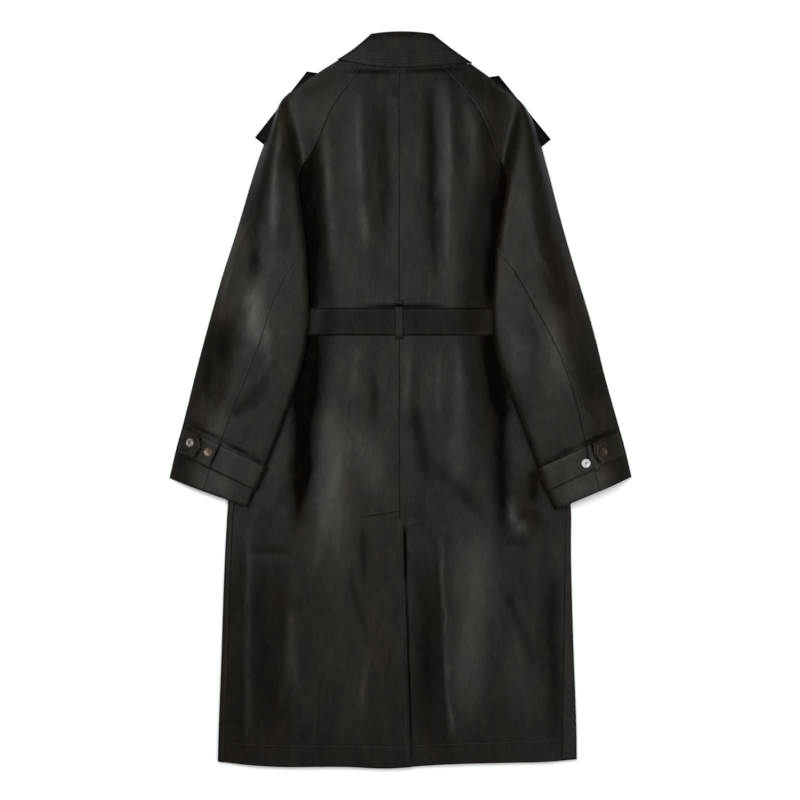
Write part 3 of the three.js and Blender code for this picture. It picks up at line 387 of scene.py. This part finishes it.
sleevePaintedLight = [
    (-187, 488, -212, 404, 10, 0.6),
    (-212, 404, -212, 268, 9, 0.5),
    (-272, 300, -300, 120, 18, 1.5),
    (-250, 250, -248, 210, 11, -0.5),
    (-258, 200, -238, 80, 22, 0.9),
    (-297, 150, -302, 49, 11, -0.4),
    (-320, 133, -326, 0, 8, -0.4),
    (-226, 118, -220, 50, 9, 0.4),
    (-220, 33, -280, -35, 11, -0.45),
    (193, 118, 200, 33, 20, 0.4),
    (258, 168, 276, 0, 22, 0.6),
    (331, 40, 333, 30, 6, -0.5),
    (262, 400, 322, 60, 20, 0.55),
    (-352, 0, -300, -66, 26, 0.6),
    (-372, -112, -268, -158, 24, 0.5),
    (252, -168, 376, -112, 24, 0.5),
    (-268, 330, -300, 210, 16, 0.4),
    (330, 10, 352, -60, 20, 0.5),
]


# Painted shadow lines, kept straight: beside the vent's edge, above the belt and along the straps.
paintedShadowLines = [
    (7, -204, 9, -310, 2.4, -1.5),
    (9, -290, 19, -610, 1.5, -1.1),
    (-338, -57, -333, -77, 2.0, -1.2),
    (-333, -77, -345, -98, 2.0, -1.4),
    (-299.5, -70, -319, -112, 2.2, -1.4),
    (-372, -89.5, -346, -100, 2.0, -1.2),
    (321, -70, 322.5, -90, 1.8, -1.3),
    (322.5, -90, 335, -108, 1.8, -1.3),
    (309, -66, 316, -110, 1.6, -1.0),
    (-68, 158.5, 76, 158.5, 2.5, -1.0),
    (-67, -197, 2, -186.5, 1.4, -0.5),
    (-354, -38, -300, -66, 3, -0.9),
    (-300, -66, -226, -109, 3, -0.8),
    (229, -112, 300, -77, 3, -1.0),
    (300, -77, 366, -48, 3, -1.0),
    (-100, 553, 0, 553, 4, -0.6),
    (0, 553, 110, 558, 4, -0.6),
]


def foldHeights(folds, x, y):
    height = np.zeros_like(x)
    for x1, y1, x2, y2, wide, high in folds:
        dx = x2 - x1
        dy = y2 - y1
        length = math.hypot(dx, dy)
        along = ((x - x1) * dx + (y - y1) * dy) / length ** 2
        across = np.abs(((x - x1) * dy - (y - y1) * dx) / length)
        past = np.maximum(0.0, np.maximum(-along, along - 1.0)) * length
        taper = np.clip(np.minimum(along, 1.0 - along) * 2.4 + 0.25, 0.0, 1.0)
        taper = taper * taper * (3.0 - 2.0 * taper)
        height += high * taper * np.exp(-(across / wide) ** 2) * np.exp(-(past / wide) ** 2)
    return height


def smoothStep(low, high, value):
    t = np.clip((value - low) / (high - low), 0.0, 1.0)
    return t * t * (3.0 - 2.0 * t)


# Cloth pieces. Each is its node's own form, rounded off, with the finer folds laid on it.

# level: painted light laid evenly over the whole piece (painted shade on the backs, belt and collar;
# painted highlight on the cuff straps). inner: the piece takes the painted-shade copy of the leather,
# unless it is also outside.
clothPieces = {
    "back_left": {"flat": (0.32, 1.20), "area": 0.300, "folds": backFolds,
                  "gloss": backPaintedLight, "level": -0.1, "from": 0, "levels": 3},
    "back_right": {"flat": (0.34, 1.20), "area": 0.307, "folds": backFolds,
                  "gloss": backPaintedLight, "level": -0.1, "from": 0, "levels": 3},
    "front_left": {"flat": (0.38, 1.17), "area": 0.367, "levels": 2, "inner": True, "outside": True},
    "front_right": {"flat": (0.38, 1.17), "area": 0.371, "levels": 2, "inner": True, "outside": True},
    "sleeve_back_left": {"flat": (0.22, 0.80), "area": 0.074, "folds": leftSleeveFolds,
                         "gloss": sleevePaintedLight, "from": 12,
                         "levels": 3},
    "sleeve_back_right": {"flat": (0.20, 0.78), "area": 0.066, "folds": rightSleeveFolds,
                          "gloss": sleevePaintedLight, "from": 12,
                          "levels": 3},
    "sleeve_under_left": {"flat": (0.28, 0.50), "area": 0.085, "folds": leftSleeveFolds,
                          "gloss": sleevePaintedLight, "from": 14,
                          "levels": 3},
    "sleeve_under_right": {"flat": (0.28, 0.50), "area": 0.088, "folds": rightSleeveFolds,
                           "gloss": sleevePaintedLight, "from": 14,
                           "levels": 3},
    "sleeve_front_left": {"flat": (0.16, 0.75), "area": 0.044, "levels": 2, "inner": True},
    "sleeve_front_right": {"flat": (0.15, 0.75), "area": 0.0414, "levels": 2, "inner": True},
    "belt": {"flat": (0.047, 1.17), "area": 0.0547, "level": -0.42, "levels": 2},
    "collar_fall": {"flat": (0.32, 0.066), "area": 0.0170, "level": -0.22, "levels": 3},
    "collar_stand": {"flat": (0.27, 0.05), "area": 0.0115, "levels": 2, "inner": True},
    "cuff_strap_left": {"flat": (0.26, 0.042), "area": 0.0077, "level": 0.22, "levels": 2},
    "cuff_strap_right": {"flat": (0.26, 0.042), "area": 0.0073, "level": 0.22, "levels": 2},
    "epaulette_left": {"flat": (0.16, 0.052), "area": 0.0080, "levels": 2, "inner": True},
    "epaulette_right": {"flat": (0.16, 0.052), "area": 0.0078, "levels": 2, "inner": True},
}
# Painted light laid evenly over each trim piece: painted highlight on the cuff tabs and the cuff loop,
# painted shade on the belt loop.
trimPieces = {"cuff_tab_left": 0.45, "cuff_tab_right": 0.4, "belt_loop": -0.15, "cuff_loop_right": 0.3}
clothForm = {
    "mergeWithin": 0.01 * mm,
    "rimAngle": math.radians(50),
    "rimRound": 0.55 * mm,
    "ripple": 0.35,
}


def bakedMesh(piece):
    graph = bpy.context.evaluated_depsgraph_get()
    baked = bpy.data.meshes.new_from_object(piece.evaluated_get(graph))
    piece.modifiers.clear()
    piece.data = baked
    return piece


def quadCopy(nodeName, name):
    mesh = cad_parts[nodeName].data.copy()
    work = bmesh.new()
    work.from_mesh(mesh)
    bmesh.ops.remove_doubles(work, verts=work.verts, dist=clothForm["mergeWithin"])
    bmesh.ops.join_triangles(work, faces=work.faces, angle_face_threshold=math.radians(40),
                             angle_shape_threshold=math.radians(180))
    bmesh.ops.recalc_face_normals(work, faces=work.faces)
    creases = work.edges.layers.float.get("crease_edge") or work.edges.layers.float.new("crease_edge")
    for edge in work.edges:
        if len(edge.link_faces) == 2 and edge.calc_face_angle() > clothForm["rimAngle"]:
            edge[creases] = 1.0
    for face in work.faces:
        face.smooth = True
    work.to_mesh(mesh)
    work.free()
    mesh.materials.clear()
    piece = bpy.data.objects.new(name, mesh)
    scene.collection.objects.link(piece)
    return piece


def subdivided(piece, levels):
    finer = piece.modifiers.new("finer", "SUBSURF")
    finer.levels = levels
    finer.render_levels = levels
    return bakedMesh(piece)


def roundedRim(piece, width):
    rim = piece.modifiers.new("rim", "BEVEL")
    rim.limit_method = "ANGLE"
    rim.angle_limit = clothForm["rimAngle"]
    rim.width = width
    rim.segments = 1
    rim.use_clamp_overlap = True
    return bakedMesh(piece)


def wavered(x, y, reach=6.0):
    drift = np.array([noise.noise_vector(Vector((a * 0.024, b * 0.013, 9.0))) * reach
                      + noise.noise_vector(Vector((a * 0.09, b * 0.04, 5.0))) * reach * 0.5
                      for a, b in zip(x, y)])
    return x + drift[:, 0], y + drift[:, 1]


def laidFolds(piece, folds, fromHeight):
    mesh = piece.data
    places = np.zeros(len(mesh.vertices) * 3, np.float32)
    mesh.vertices.foreach_get("co", places)
    places = places.reshape(-1, 3)
    x = places[:, 0] / mm
    y = places[:, 1] / mm
    z = places[:, 2] / mm
    upper = smoothStep(fromHeight, fromHeight + 8.0, z) if fromHeight else np.ones_like(z)
    ripple = np.array([noise.fractal(Vector((a * 0.022, b * 0.011, 3.0)), 0.8, 2.1, 4)
                       for a, b in zip(x, y)])
    calm = smoothStep(620.0, 560.0, np.abs(y))
    places[:, 2] += (foldHeights(folds, x, y) + clothForm["ripple"] * ripple) * upper * calm * mm
    mesh.vertices.foreach_set("co", places.ravel())
    mesh.update()
    return piece


# Lays the painted light on the piece as a point attribute: an even level for the whole piece, the painted
# shade and highlight strokes, and the painted shadow lines.
def laidPaintedLight(piece, strokes, level):
    mesh = piece.data
    places = np.zeros(len(mesh.vertices) * 3, np.float32)
    mesh.vertices.foreach_get("co", places)
    x, y, _ = places.reshape(-1, 3).T / mm
    amounts = level * np.ones_like(x)
    if strokes:
        amounts += foldHeights(strokes, *wavered(x, y))
    amounts = np.clip(amounts, -1.0, 1.5) + foldHeights(paintedShadowLines, x, y)
    gloss = mesh.attributes.new("gloss", "FLOAT", "POINT")
    gloss.data.foreach_set("value", amounts.astype(np.float32))
    return piece


cloth = {}
for nodeName, cut in clothPieces.items():
    piece = quadCopy(nodeName, nodeName + "_cloth")
    subdivided(piece, cut["levels"])
    if "folds" in cut:
        laidFolds(piece, cut["folds"], cut["from"])
    roundedRim(piece, clothForm["rimRound"])
    laidPaintedLight(piece, cut.get("gloss"), cut.get("level", 0.0))
    piece.data.materials.append(shadedLeather if cut.get("inner") and not cut.get("outside") else leather)
    for face in piece.data.polygons:
        face.use_smooth = True
    cloth[nodeName] = piece
for nodeName, level in trimPieces.items():
    piece = quadCopy(nodeName, nodeName + "_trim")
    subdivided(piece, 2)
    roundedRim(piece, 0.5 * mm)
    laidPaintedLight(piece, None, level)
    piece.data.materials.append(leather)
    for face in piece.data.polygons:
        face.use_smooth = True
    cloth[nodeName] = piece
print("cloth pieces", len(cloth), "faces", sum(len(p.data.polygons) for p in cloth.values()))


# Where the cloth's top is, seen from above

def topTree(pieces):
    points = []
    faces = []
    for piece in pieces:
        start = len(points)
        points.extend(vertex.co.copy() for vertex in piece.data.vertices)
        faces.extend([start + index for index in polygon.vertices] for polygon in piece.data.polygons)
    return BVHTree.FromPolygons(points, faces)


coatTop = topTree(cloth.values())


def onTop(x, y, lift=0.0):
    hit, normal, _, _ = coatTop.ray_cast(Vector((x * mm, y * mm, 0.2)), Vector((0, 0, -1)))
    if hit is None:
        return None
    return hit + normal * lift * mm


def smoothPath(corners, step=3.0):
    points = [Vector(corner) for corner in corners]
    if len(points) > 2:
        first = points[0] * 2 - points[1]
        last = points[-1] * 2 - points[-2]
        chain = [first, *points, last]
    else:
        chain = [points[0], *points, points[-1]]
    path = []
    for i in range(1, len(chain) - 2):
        a, b, c, d = chain[i - 1:i + 3]
        count = max(2, round((c - b).length / step))
        for k in range(count):
            t = k / count
            if len(points) == 2:
                path.append(b.lerp(c, t))
                continue
            path.append(0.5 * (2 * b + (c - a) * t + (2 * a - 5 * b + 4 * c - d) * t * t
                               + (3 * b - a - 3 * c + d) * t ** 3))
    path.append(points[-1])
    return path


def beside(path, offset):
    moved = []
    for i, point in enumerate(path):
        ahead = path[min(i + 1, len(path) - 1)] - path[max(i - 1, 0)]
        ahead.normalize()
        moved.append(point + Vector((ahead.y, -ahead.x)) * offset)
    return moved


# Stitches along seams and edges

stitching = {"spacing": 3.6, "length": 2.5, "radius": 0.34, "sink": 0.05}


def stitchTree():
    tree = bpy.data.node_groups.new("stitch_rows", "GeometryNodeTree")
    face = tree.interface
    face.new_socket("Rows", in_out="INPUT", socket_type="NodeSocketGeometry")
    sockets = {}
    for label, kind, value in (("Spacing", "NodeSocketFloat", stitching["spacing"] * mm),
                               ("Stitch length", "NodeSocketFloat", stitching["length"] * mm),
                               ("Thread radius", "NodeSocketFloat", stitching["radius"] * mm),
                               ("Seed", "NodeSocketInt", 7),
                               ("Thread", "NodeSocketMaterial", None)):
        socket = face.new_socket(label, in_out="INPUT", socket_type=kind)
        if value is not None:
            socket.default_value = value
        sockets[label] = socket.identifier
    face.new_socket("Stitches", in_out="OUTPUT", socket_type="NodeSocketGeometry")
    nodes = tree.nodes
    links = tree.links
    given = nodes.new("NodeGroupInput")
    result = nodes.new("NodeGroupOutput")
    lines = nodes.new("GeometryNodeMeshToCurve")
    links.new(given.outputs["Rows"], lines.inputs["Mesh"])
    spaced = nodes.new("GeometryNodeResampleCurve")
    spaced.mode = "LENGTH"
    links.new(lines.outputs["Curve"], spaced.inputs["Curve"])
    links.new(given.outputs["Spacing"], spaced.inputs["Length"])
    stitch = nodes.new("GeometryNodeMeshUVSphere")
    stitch.inputs["Segments"].default_value = 6
    stitch.inputs["Rings"].default_value = 4
    stitch.inputs["Radius"].default_value = 1.0
    tangent = nodes.new("GeometryNodeInputTangent")
    turn = nodes.new("FunctionNodeAlignRotationToVector")
    turn.axis = "Z"
    links.new(tangent.outputs["Tangent"], turn.inputs["Vector"])
    half = nodes.new("ShaderNodeMath")
    half.operation = "MULTIPLY"
    half.inputs[1].default_value = 0.5
    links.new(given.outputs["Stitch length"], half.inputs[0])
    uneven = nodes.new("FunctionNodeRandomValue")
    uneven.inputs[2].default_value = 0.85
    uneven.inputs[3].default_value = 1.1
    links.new(given.outputs["Seed"], uneven.inputs["Seed"])
    length = nodes.new("ShaderNodeMath")
    length.operation = "MULTIPLY"
    links.new(half.outputs[0], length.inputs[0])
    links.new(uneven.outputs[1], length.inputs[1])
    size = nodes.new("ShaderNodeCombineXYZ")
    links.new(given.outputs["Thread radius"], size.inputs["X"])
    links.new(given.outputs["Thread radius"], size.inputs["Y"])
    links.new(length.outputs[0], size.inputs["Z"])
    placed = nodes.new("GeometryNodeInstanceOnPoints")
    links.new(spaced.outputs["Curve"], placed.inputs["Points"])
    links.new(stitch.outputs["Mesh"], placed.inputs["Instance"])
    links.new(turn.outputs["Rotation"], placed.inputs["Rotation"])
    links.new(size.outputs["Vector"], placed.inputs["Scale"])
    real = nodes.new("GeometryNodeRealizeInstances")
    links.new(placed.outputs["Instances"], real.inputs["Geometry"])
    finish = nodes.new("GeometryNodeSetMaterial")
    links.new(real.outputs["Geometry"], finish.inputs["Geometry"])
    links.new(given.outputs["Thread"], finish.inputs["Material"])
    links.new(finish.outputs["Geometry"], result.inputs["Stitches"])
    return tree, sockets


stitchRows, stitchSockets = stitchTree()


def stitched(name, rows, spacing=None, length=None, radius=None, finish=None):
    points = []
    edges = []
    for row in rows:
        run = [place for place in (onTop(p.x, p.y, stitching["sink"]) for p in row) if place]
        start = len(points)
        points.extend(run)
        edges.extend((start + i, start + i + 1) for i in range(len(run) - 1))
    mesh = bpy.data.meshes.new(name)
    mesh.from_pydata(points, edges, [])
    piece = bpy.data.objects.new(name, mesh)
    scene.collection.objects.link(piece)
    sewing = piece.modifiers.new("sewing", "NODES")
    sewing.node_group = stitchRows
    sewing[stitchSockets["Spacing"]] = (spacing or stitching["spacing"]) * mm
    sewing[stitchSockets["Stitch length"]] = (length or stitching["length"]) * mm
    sewing[stitchSockets["Thread radius"]] = (radius or stitching["radius"]) * mm
    sewing[stitchSockets["Thread"]] = finish or thread
    bakedMesh(piece)
    for polygon in piece.data.polygons:
        polygon.use_smooth = True
    return piece


seams = {
    "raglanLeft": [(-64, 562), (-80, 539), (-103, 510), (-118, 485), (-132, 456), (-148, 422), (-163, 397)],
    "raglanRight": [(72, 558), (91, 539), (115, 510), (134, 485), (148, 456), (159, 422), (170, 398)],
    "sleeveLeft": [(-166, 277), (-195, 210), (-214, 171), (-225, 141), (-237, 90), (-256, 44), (-278, -2),
                   (-291, -34), (-300, -58), (-326, -112), (-333, -151)],
    "sleeveRight": [(163, 277), (190, 213), (215, 180), (244, 130), (264, 91), (280, 52), (293, 7),
                    (303, -36), (317, -90), (322, -152)],
}

rows = []
centreBack = smoothPath([(-2, 556), (-2, 165)])
centreLower = smoothPath([(-2, 100), (-2, -196)])
rows.append(beside(centreBack, -7.5))
rows.append(beside(centreLower, -7.5))
raglanLeft = smoothPath(seams["raglanLeft"])
raglanRight = smoothPath(seams["raglanRight"])
rows += [beside(raglanLeft, 2.6), beside(raglanLeft, 9.0)]
rows += [beside(raglanRight, -2.6), beside(raglanRight, -9.0)]
sleeveLeft = smoothPath(seams["sleeveLeft"])
sleeveRight = smoothPath(seams["sleeveRight"])
rows += [beside(sleeveLeft, 2.6), beside(sleeveLeft, 9.0)]
rows += [beside(sleeveRight, -2.6), beside(sleeveRight, -9.0)]
hemRow = smoothPath([(-290, -578), (-210, -582), (-94, -583), (-20, -585), (14, -584)])
hemRowRight = smoothPath([(22, -583), (75, -580), (194, -576), (244, -574), (292, -569)])
rows += [hemRow, hemRowRight]
rows.append(smoothPath([(-67, -195), (2, -184)]))
rows.append(smoothPath([(-2, -206), (0, -330), (5, -460), (11, -612)]))
rows.append(smoothPath([(-288, -180), (-290, -300), (-293, -450), (-298, -605)]))
topStitch = stitched("seam_stitches", rows)

collarRows = []
for lift in (4, 9, 14, 19):
    collarRows.append(smoothPath([(-101 + lift * 0.7, 573 + lift), (-60, 565 + lift), (-8, 561 + lift),
                                  (33, 562 + lift), (82, 565.5 + lift), (113 - lift * 0.7, 568.5 + lift)]))
collarStitch = stitched("collar_stitches", collarRows)
beltRows = [smoothPath([(-140, 113), (-12, 113)]), smoothPath([(8, 113), (146, 113)]),
            smoothPath([(-140, 150), (-12, 150)]), smoothPath([(8, 150), (146, 150)])]
beltRows += [smoothPath([(-6.4, 108), (-6.4, 156)]), smoothPath([(1.6, 108), (1.6, 156)])]
beltStitch = stitched("belt_stitches", beltRows)

cuffEdges = {
    "leftUpper": [(-352, -43), (-300.5, -69.7), (-281.4, -81.6), (-256.9, -97.6), (-228, -111)],
    "leftLower": [(-376, -88), (-354.1, -95.9), (-321.9, -108.6), (-300, -125.5), (-246, -150)],
    "rightUpper": [(231, -114.4), (298, -81), (366, -52)],
    "rightLower": [(248, -153.2), (312, -121), (378, -92.4)],
}
tabRows = [[(-362, -52.5), (-342, -60.5), (-338, -76), (-349.5, -92.5), (-370, -87)],
           [(345, -63.5), (327.5, -71.5), (328.5, -88.5), (339.5, -103.5), (360, -95.5)]]
cuffRows = [beside(smoothPath(points), 3.6 if name.endswith("Upper") else -3.6)
            for name, points in cuffEdges.items()]
for corners in tabRows:
    cuffRows += [smoothPath([Vector(a), Vector(b)]) for a, b in zip(corners, corners[1:])]
cuffRows.append(smoothPath([(-297.5, -73), (-317.5, -111)]))
cuffStitch = stitched("cuff_stitches", cuffRows, 2.8, 2.0, 0.28)


# Buttonholes, worked round with thread

buttonholes = {"left": {"middle": (-369, -66), "along": (0.92, -0.40)},
               "right": {"middle": (350.5, -80.5), "along": (0.90, 0.43)}}
holeForm = {"length": 13.0, "width": 4.2, "spacing": 0.9, "thread": 0.6}


def ovalPath(middle, along):
    along = Vector(along).normalized()
    across = Vector((-along.y, along.x))
    path = []
    for k in range(41):
        turn = 2 * math.pi * k / 40
        path.append(Vector(middle) + along * math.cos(turn) * holeForm["length"] / 2
                    + across * math.sin(turn) * holeForm["width"] / 2)
    return path


holeStitch = stitched("buttonhole_stitches", [ovalPath(**hole) for hole in buttonholes.values()],
                      holeForm["spacing"], 1.5, holeForm["thread"], darkThread)
sewn = (topStitch, collarStitch, beltStitch, cuffStitch, holeStitch)
print("stitches", sum(len(p.data.polygons) for p in sewn))


# Seam allowance below the two points where three seams meet

seamMeets = {"left": (-167.2, 395.0), "right": (174.6, 393.2)}
allowance = {"reach": 6.0, "thick": 1.2, "below": 2.6}


def allowancePatch(name, x, y):
    spots = [onTop(x + dx, y + dy) for dx in (-5, 0, 5) for dy in (-5, 0, 5)]
    level = min(spot.z for spot in spots if spot) - allowance["below"] * mm
    work = bmesh.new()
    bmesh.ops.create_cone(work, cap_ends=True, segments=20, radius1=allowance["reach"] * mm,
                          radius2=allowance["reach"] * mm, depth=allowance["thick"] * mm,
                          matrix=Matrix.Translation((x * mm, y * mm, max(level, 3.5 * mm))))
    mesh = bpy.data.meshes.new(name)
    work.to_mesh(mesh)
    work.free()
    mesh.materials.append(shadedLeather)
    patch = bpy.data.objects.new(name, mesh)
    scene.collection.objects.link(patch)
    print("seam allowance", name, round(level / mm, 1), sum(spot is None for spot in spots))
    return patch


patches = [allowancePatch("seam_allowance_" + side, *spot) for side, spot in seamMeets.items()]


# Buttons

buttonForm = {"radius": 7.5, "thick": 3.0, "holeRadius": 0.85, "holeSpread": 1.7, "turns": 48}


def buttonPlace(nodeName):
    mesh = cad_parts[nodeName].data
    places = np.array([vertex.co for vertex in mesh.vertices])
    centre = places.mean(axis=0)
    _, _, axes = np.linalg.svd(places - centre, full_matrices=False)
    up = Vector(axes[2])
    if up.z < 0:
        up.negate()
    heights = (places - centre) @ np.array(up)
    return Vector(centre) + up * float(heights.min()), up


def buttonMesh(name, nodeName, finish):
    form = buttonForm
    radius = form["radius"]
    thick = form["thick"]
    profile = [(0.0, 0.0), (radius - 2.0, 0.0), (radius - 0.6, 0.6), (radius, 1.5), (radius - 0.2, 2.4),
               (radius - 0.9, thick), (radius - 1.7, thick), (radius - 2.5, thick - 0.55),
               (radius - 3.3, thick - 0.9), (0.0, thick - 0.95)]
    work = bmesh.new()
    rings = []
    for r, z in profile:
        if r == 0.0:
            rings.append([work.verts.new((0, 0, z))])
            continue
        rings.append([work.verts.new((r * math.cos(a), r * math.sin(a), z))
                      for a in (2 * math.pi * k / form["turns"] for k in range(form["turns"]))])
    for lower, upper in zip(rings, rings[1:]):
        for k in range(form["turns"]):
            n = (k + 1) % form["turns"]
            if len(lower) == 1:
                work.faces.new((lower[0], upper[n], upper[k]))
            elif len(upper) == 1:
                work.faces.new((lower[k], lower[n], upper[0]))
            else:
                work.faces.new((lower[k], lower[n], upper[n], upper[k]))
    bmesh.ops.recalc_face_normals(work, faces=work.faces)
    mesh = bpy.data.meshes.new(name)
    work.to_mesh(mesh)
    work.free()
    button = bpy.data.objects.new(name, mesh)
    scene.collection.objects.link(button)
    drills = bmesh.new()
    for a in (45, 135, 225, 315):
        spot = Vector((math.cos(math.radians(a)), math.sin(math.radians(a)), 0)) * form["holeSpread"]
        bmesh.ops.create_cone(drills, cap_ends=True, segments=16, radius1=form["holeRadius"],
                              radius2=form["holeRadius"], depth=8.0,
                              matrix=Matrix.Translation(spot + Vector((0, 0, 1.5))))
    drillMesh = bpy.data.meshes.new("drills")
    drills.to_mesh(drillMesh)
    drills.free()
    drill = bpy.data.objects.new("drills", drillMesh)
    scene.collection.objects.link(drill)
    cut = button.modifiers.new("holes", "BOOLEAN")
    cut.operation = "DIFFERENCE"
    cut.object = drill
    bakedMesh(button)
    bpy.data.objects.remove(drill)
    foot, up = buttonPlace(nodeName)
    turn = up.to_track_quat("Z", "Y").to_matrix().to_4x4()
    button.data.transform(Matrix.Translation(foot) @ turn @ Matrix.Scale(mm, 4))
    button.data.materials.clear()
    button.data.materials.append(finish)
    for polygon in button.data.polygons:
        polygon.use_smooth = True
    button.data.set_sharp_from_angle(angle=math.radians(40))
    return button, foot, up


def buttonThread(name, foot, up):
    turn = up.to_track_quat("Z", "Y").to_matrix()
    work = bmesh.new()
    spread = buttonForm["holeSpread"] * 0.707
    for side in (-1, 1):
        for k in (-0.28, 0.28):
            bmesh.ops.create_uvsphere(work, u_segments=8, v_segments=6, radius=1.0, matrix=(
                Matrix.Translation((side * spread + k, 0, 2.35))
                @ Matrix.Diagonal((0.3, spread * 1.35, 0.42, 1.0))))
    mesh = bpy.data.meshes.new(name)
    work.to_mesh(mesh)
    work.free()
    mesh.transform(Matrix.Translation(foot) @ turn.to_4x4() @ Matrix.Scale(mm, 4))
    mesh.materials.append(thread)
    for polygon in mesh.polygons:
        polygon.use_smooth = True
    piece = bpy.data.objects.new(name, mesh)
    scene.collection.objects.link(piece)
    return piece


buttons = {"button_left_outer": (paleHorn, "horn"), "button_left_inner": (brownHorn, "dark_horn"),
           "button_right_inner": (pearl, "horn"), "button_right_outer": (darkHorn, "dark_horn")}
for nodeName, (finish, slot) in buttons.items():
    button, foot, up = buttonMesh(nodeName + "_drilled", nodeName, finish)
    shank = buttonThread(nodeName + "_thread", foot, up)
    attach(button, "root")
    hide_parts(nodeName)
    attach(shank, "root")
print("buttons", len(buttons))


# Floor, light and camera

floorMesh = bpy.data.meshes.new("floor")
reach = 4.0
floorMesh.from_pydata([(-reach, -reach, 0), (reach, -reach, 0), (reach, reach, 0), (-reach, reach, 0)], [],
                      [(0, 1, 2, 3)])
floor = bpy.data.objects.new("floor", floorMesh)
floor.location.z = -0.0004
floorMesh.materials.append(floorPaper)
scene.collection.objects.link(floor)

lamps = {
    "key": {"place": (-0.62, 0.62, 2.60), "size": (1.0, 1.9), "power": 84},
    "fill": {"place": (1.35, -0.7, 2.4), "size": (1.4, 1.4), "power": 36},
}
for name, lamp in lamps.items():
    data = bpy.data.lights.new(name, "AREA")
    data.shape = "RECTANGLE"
    data.size, data.size_y = lamp["size"]
    data.energy = lamp["power"]
    light = bpy.data.objects.new(name, data)
    light.location = lamp["place"]
    light.visible_camera = False
    light.rotation_euler = (-Vector(lamp["place"])).to_track_quat("-Z", "Y").to_euler()
    scene.collection.objects.link(light)
world = bpy.data.worlds.new("studio")
world.use_nodes = True
world.node_tree.nodes["Background"].inputs["Color"].default_value = (1.0, 1.0, 1.0, 1.0)
world.node_tree.nodes["Background"].inputs["Strength"].default_value = 0.11
scene.world = world
scene.view_settings.view_transform = "Standard"

view = {"lens": 85.0, "height": 3.193, "x": -0.0008, "y": 0.0}
cameraData = bpy.data.cameras.new("camera")
cameraData.lens = view["lens"]
camera = bpy.data.objects.new("camera", cameraData)
camera.location = (view["x"], view["y"], view["height"])
scene.collection.objects.link(camera)
scene.camera = camera


# Each piece is attached to the root; the node it replaces is hidden

for nodeName, piece in cloth.items():
    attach(piece, "root")
    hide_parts(nodeName)
    if nodeName in clothPieces:
        cut = clothPieces[nodeName]
for piece in sewn:
    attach(piece, "root")
for piece in patches:
    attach(piece, "root")
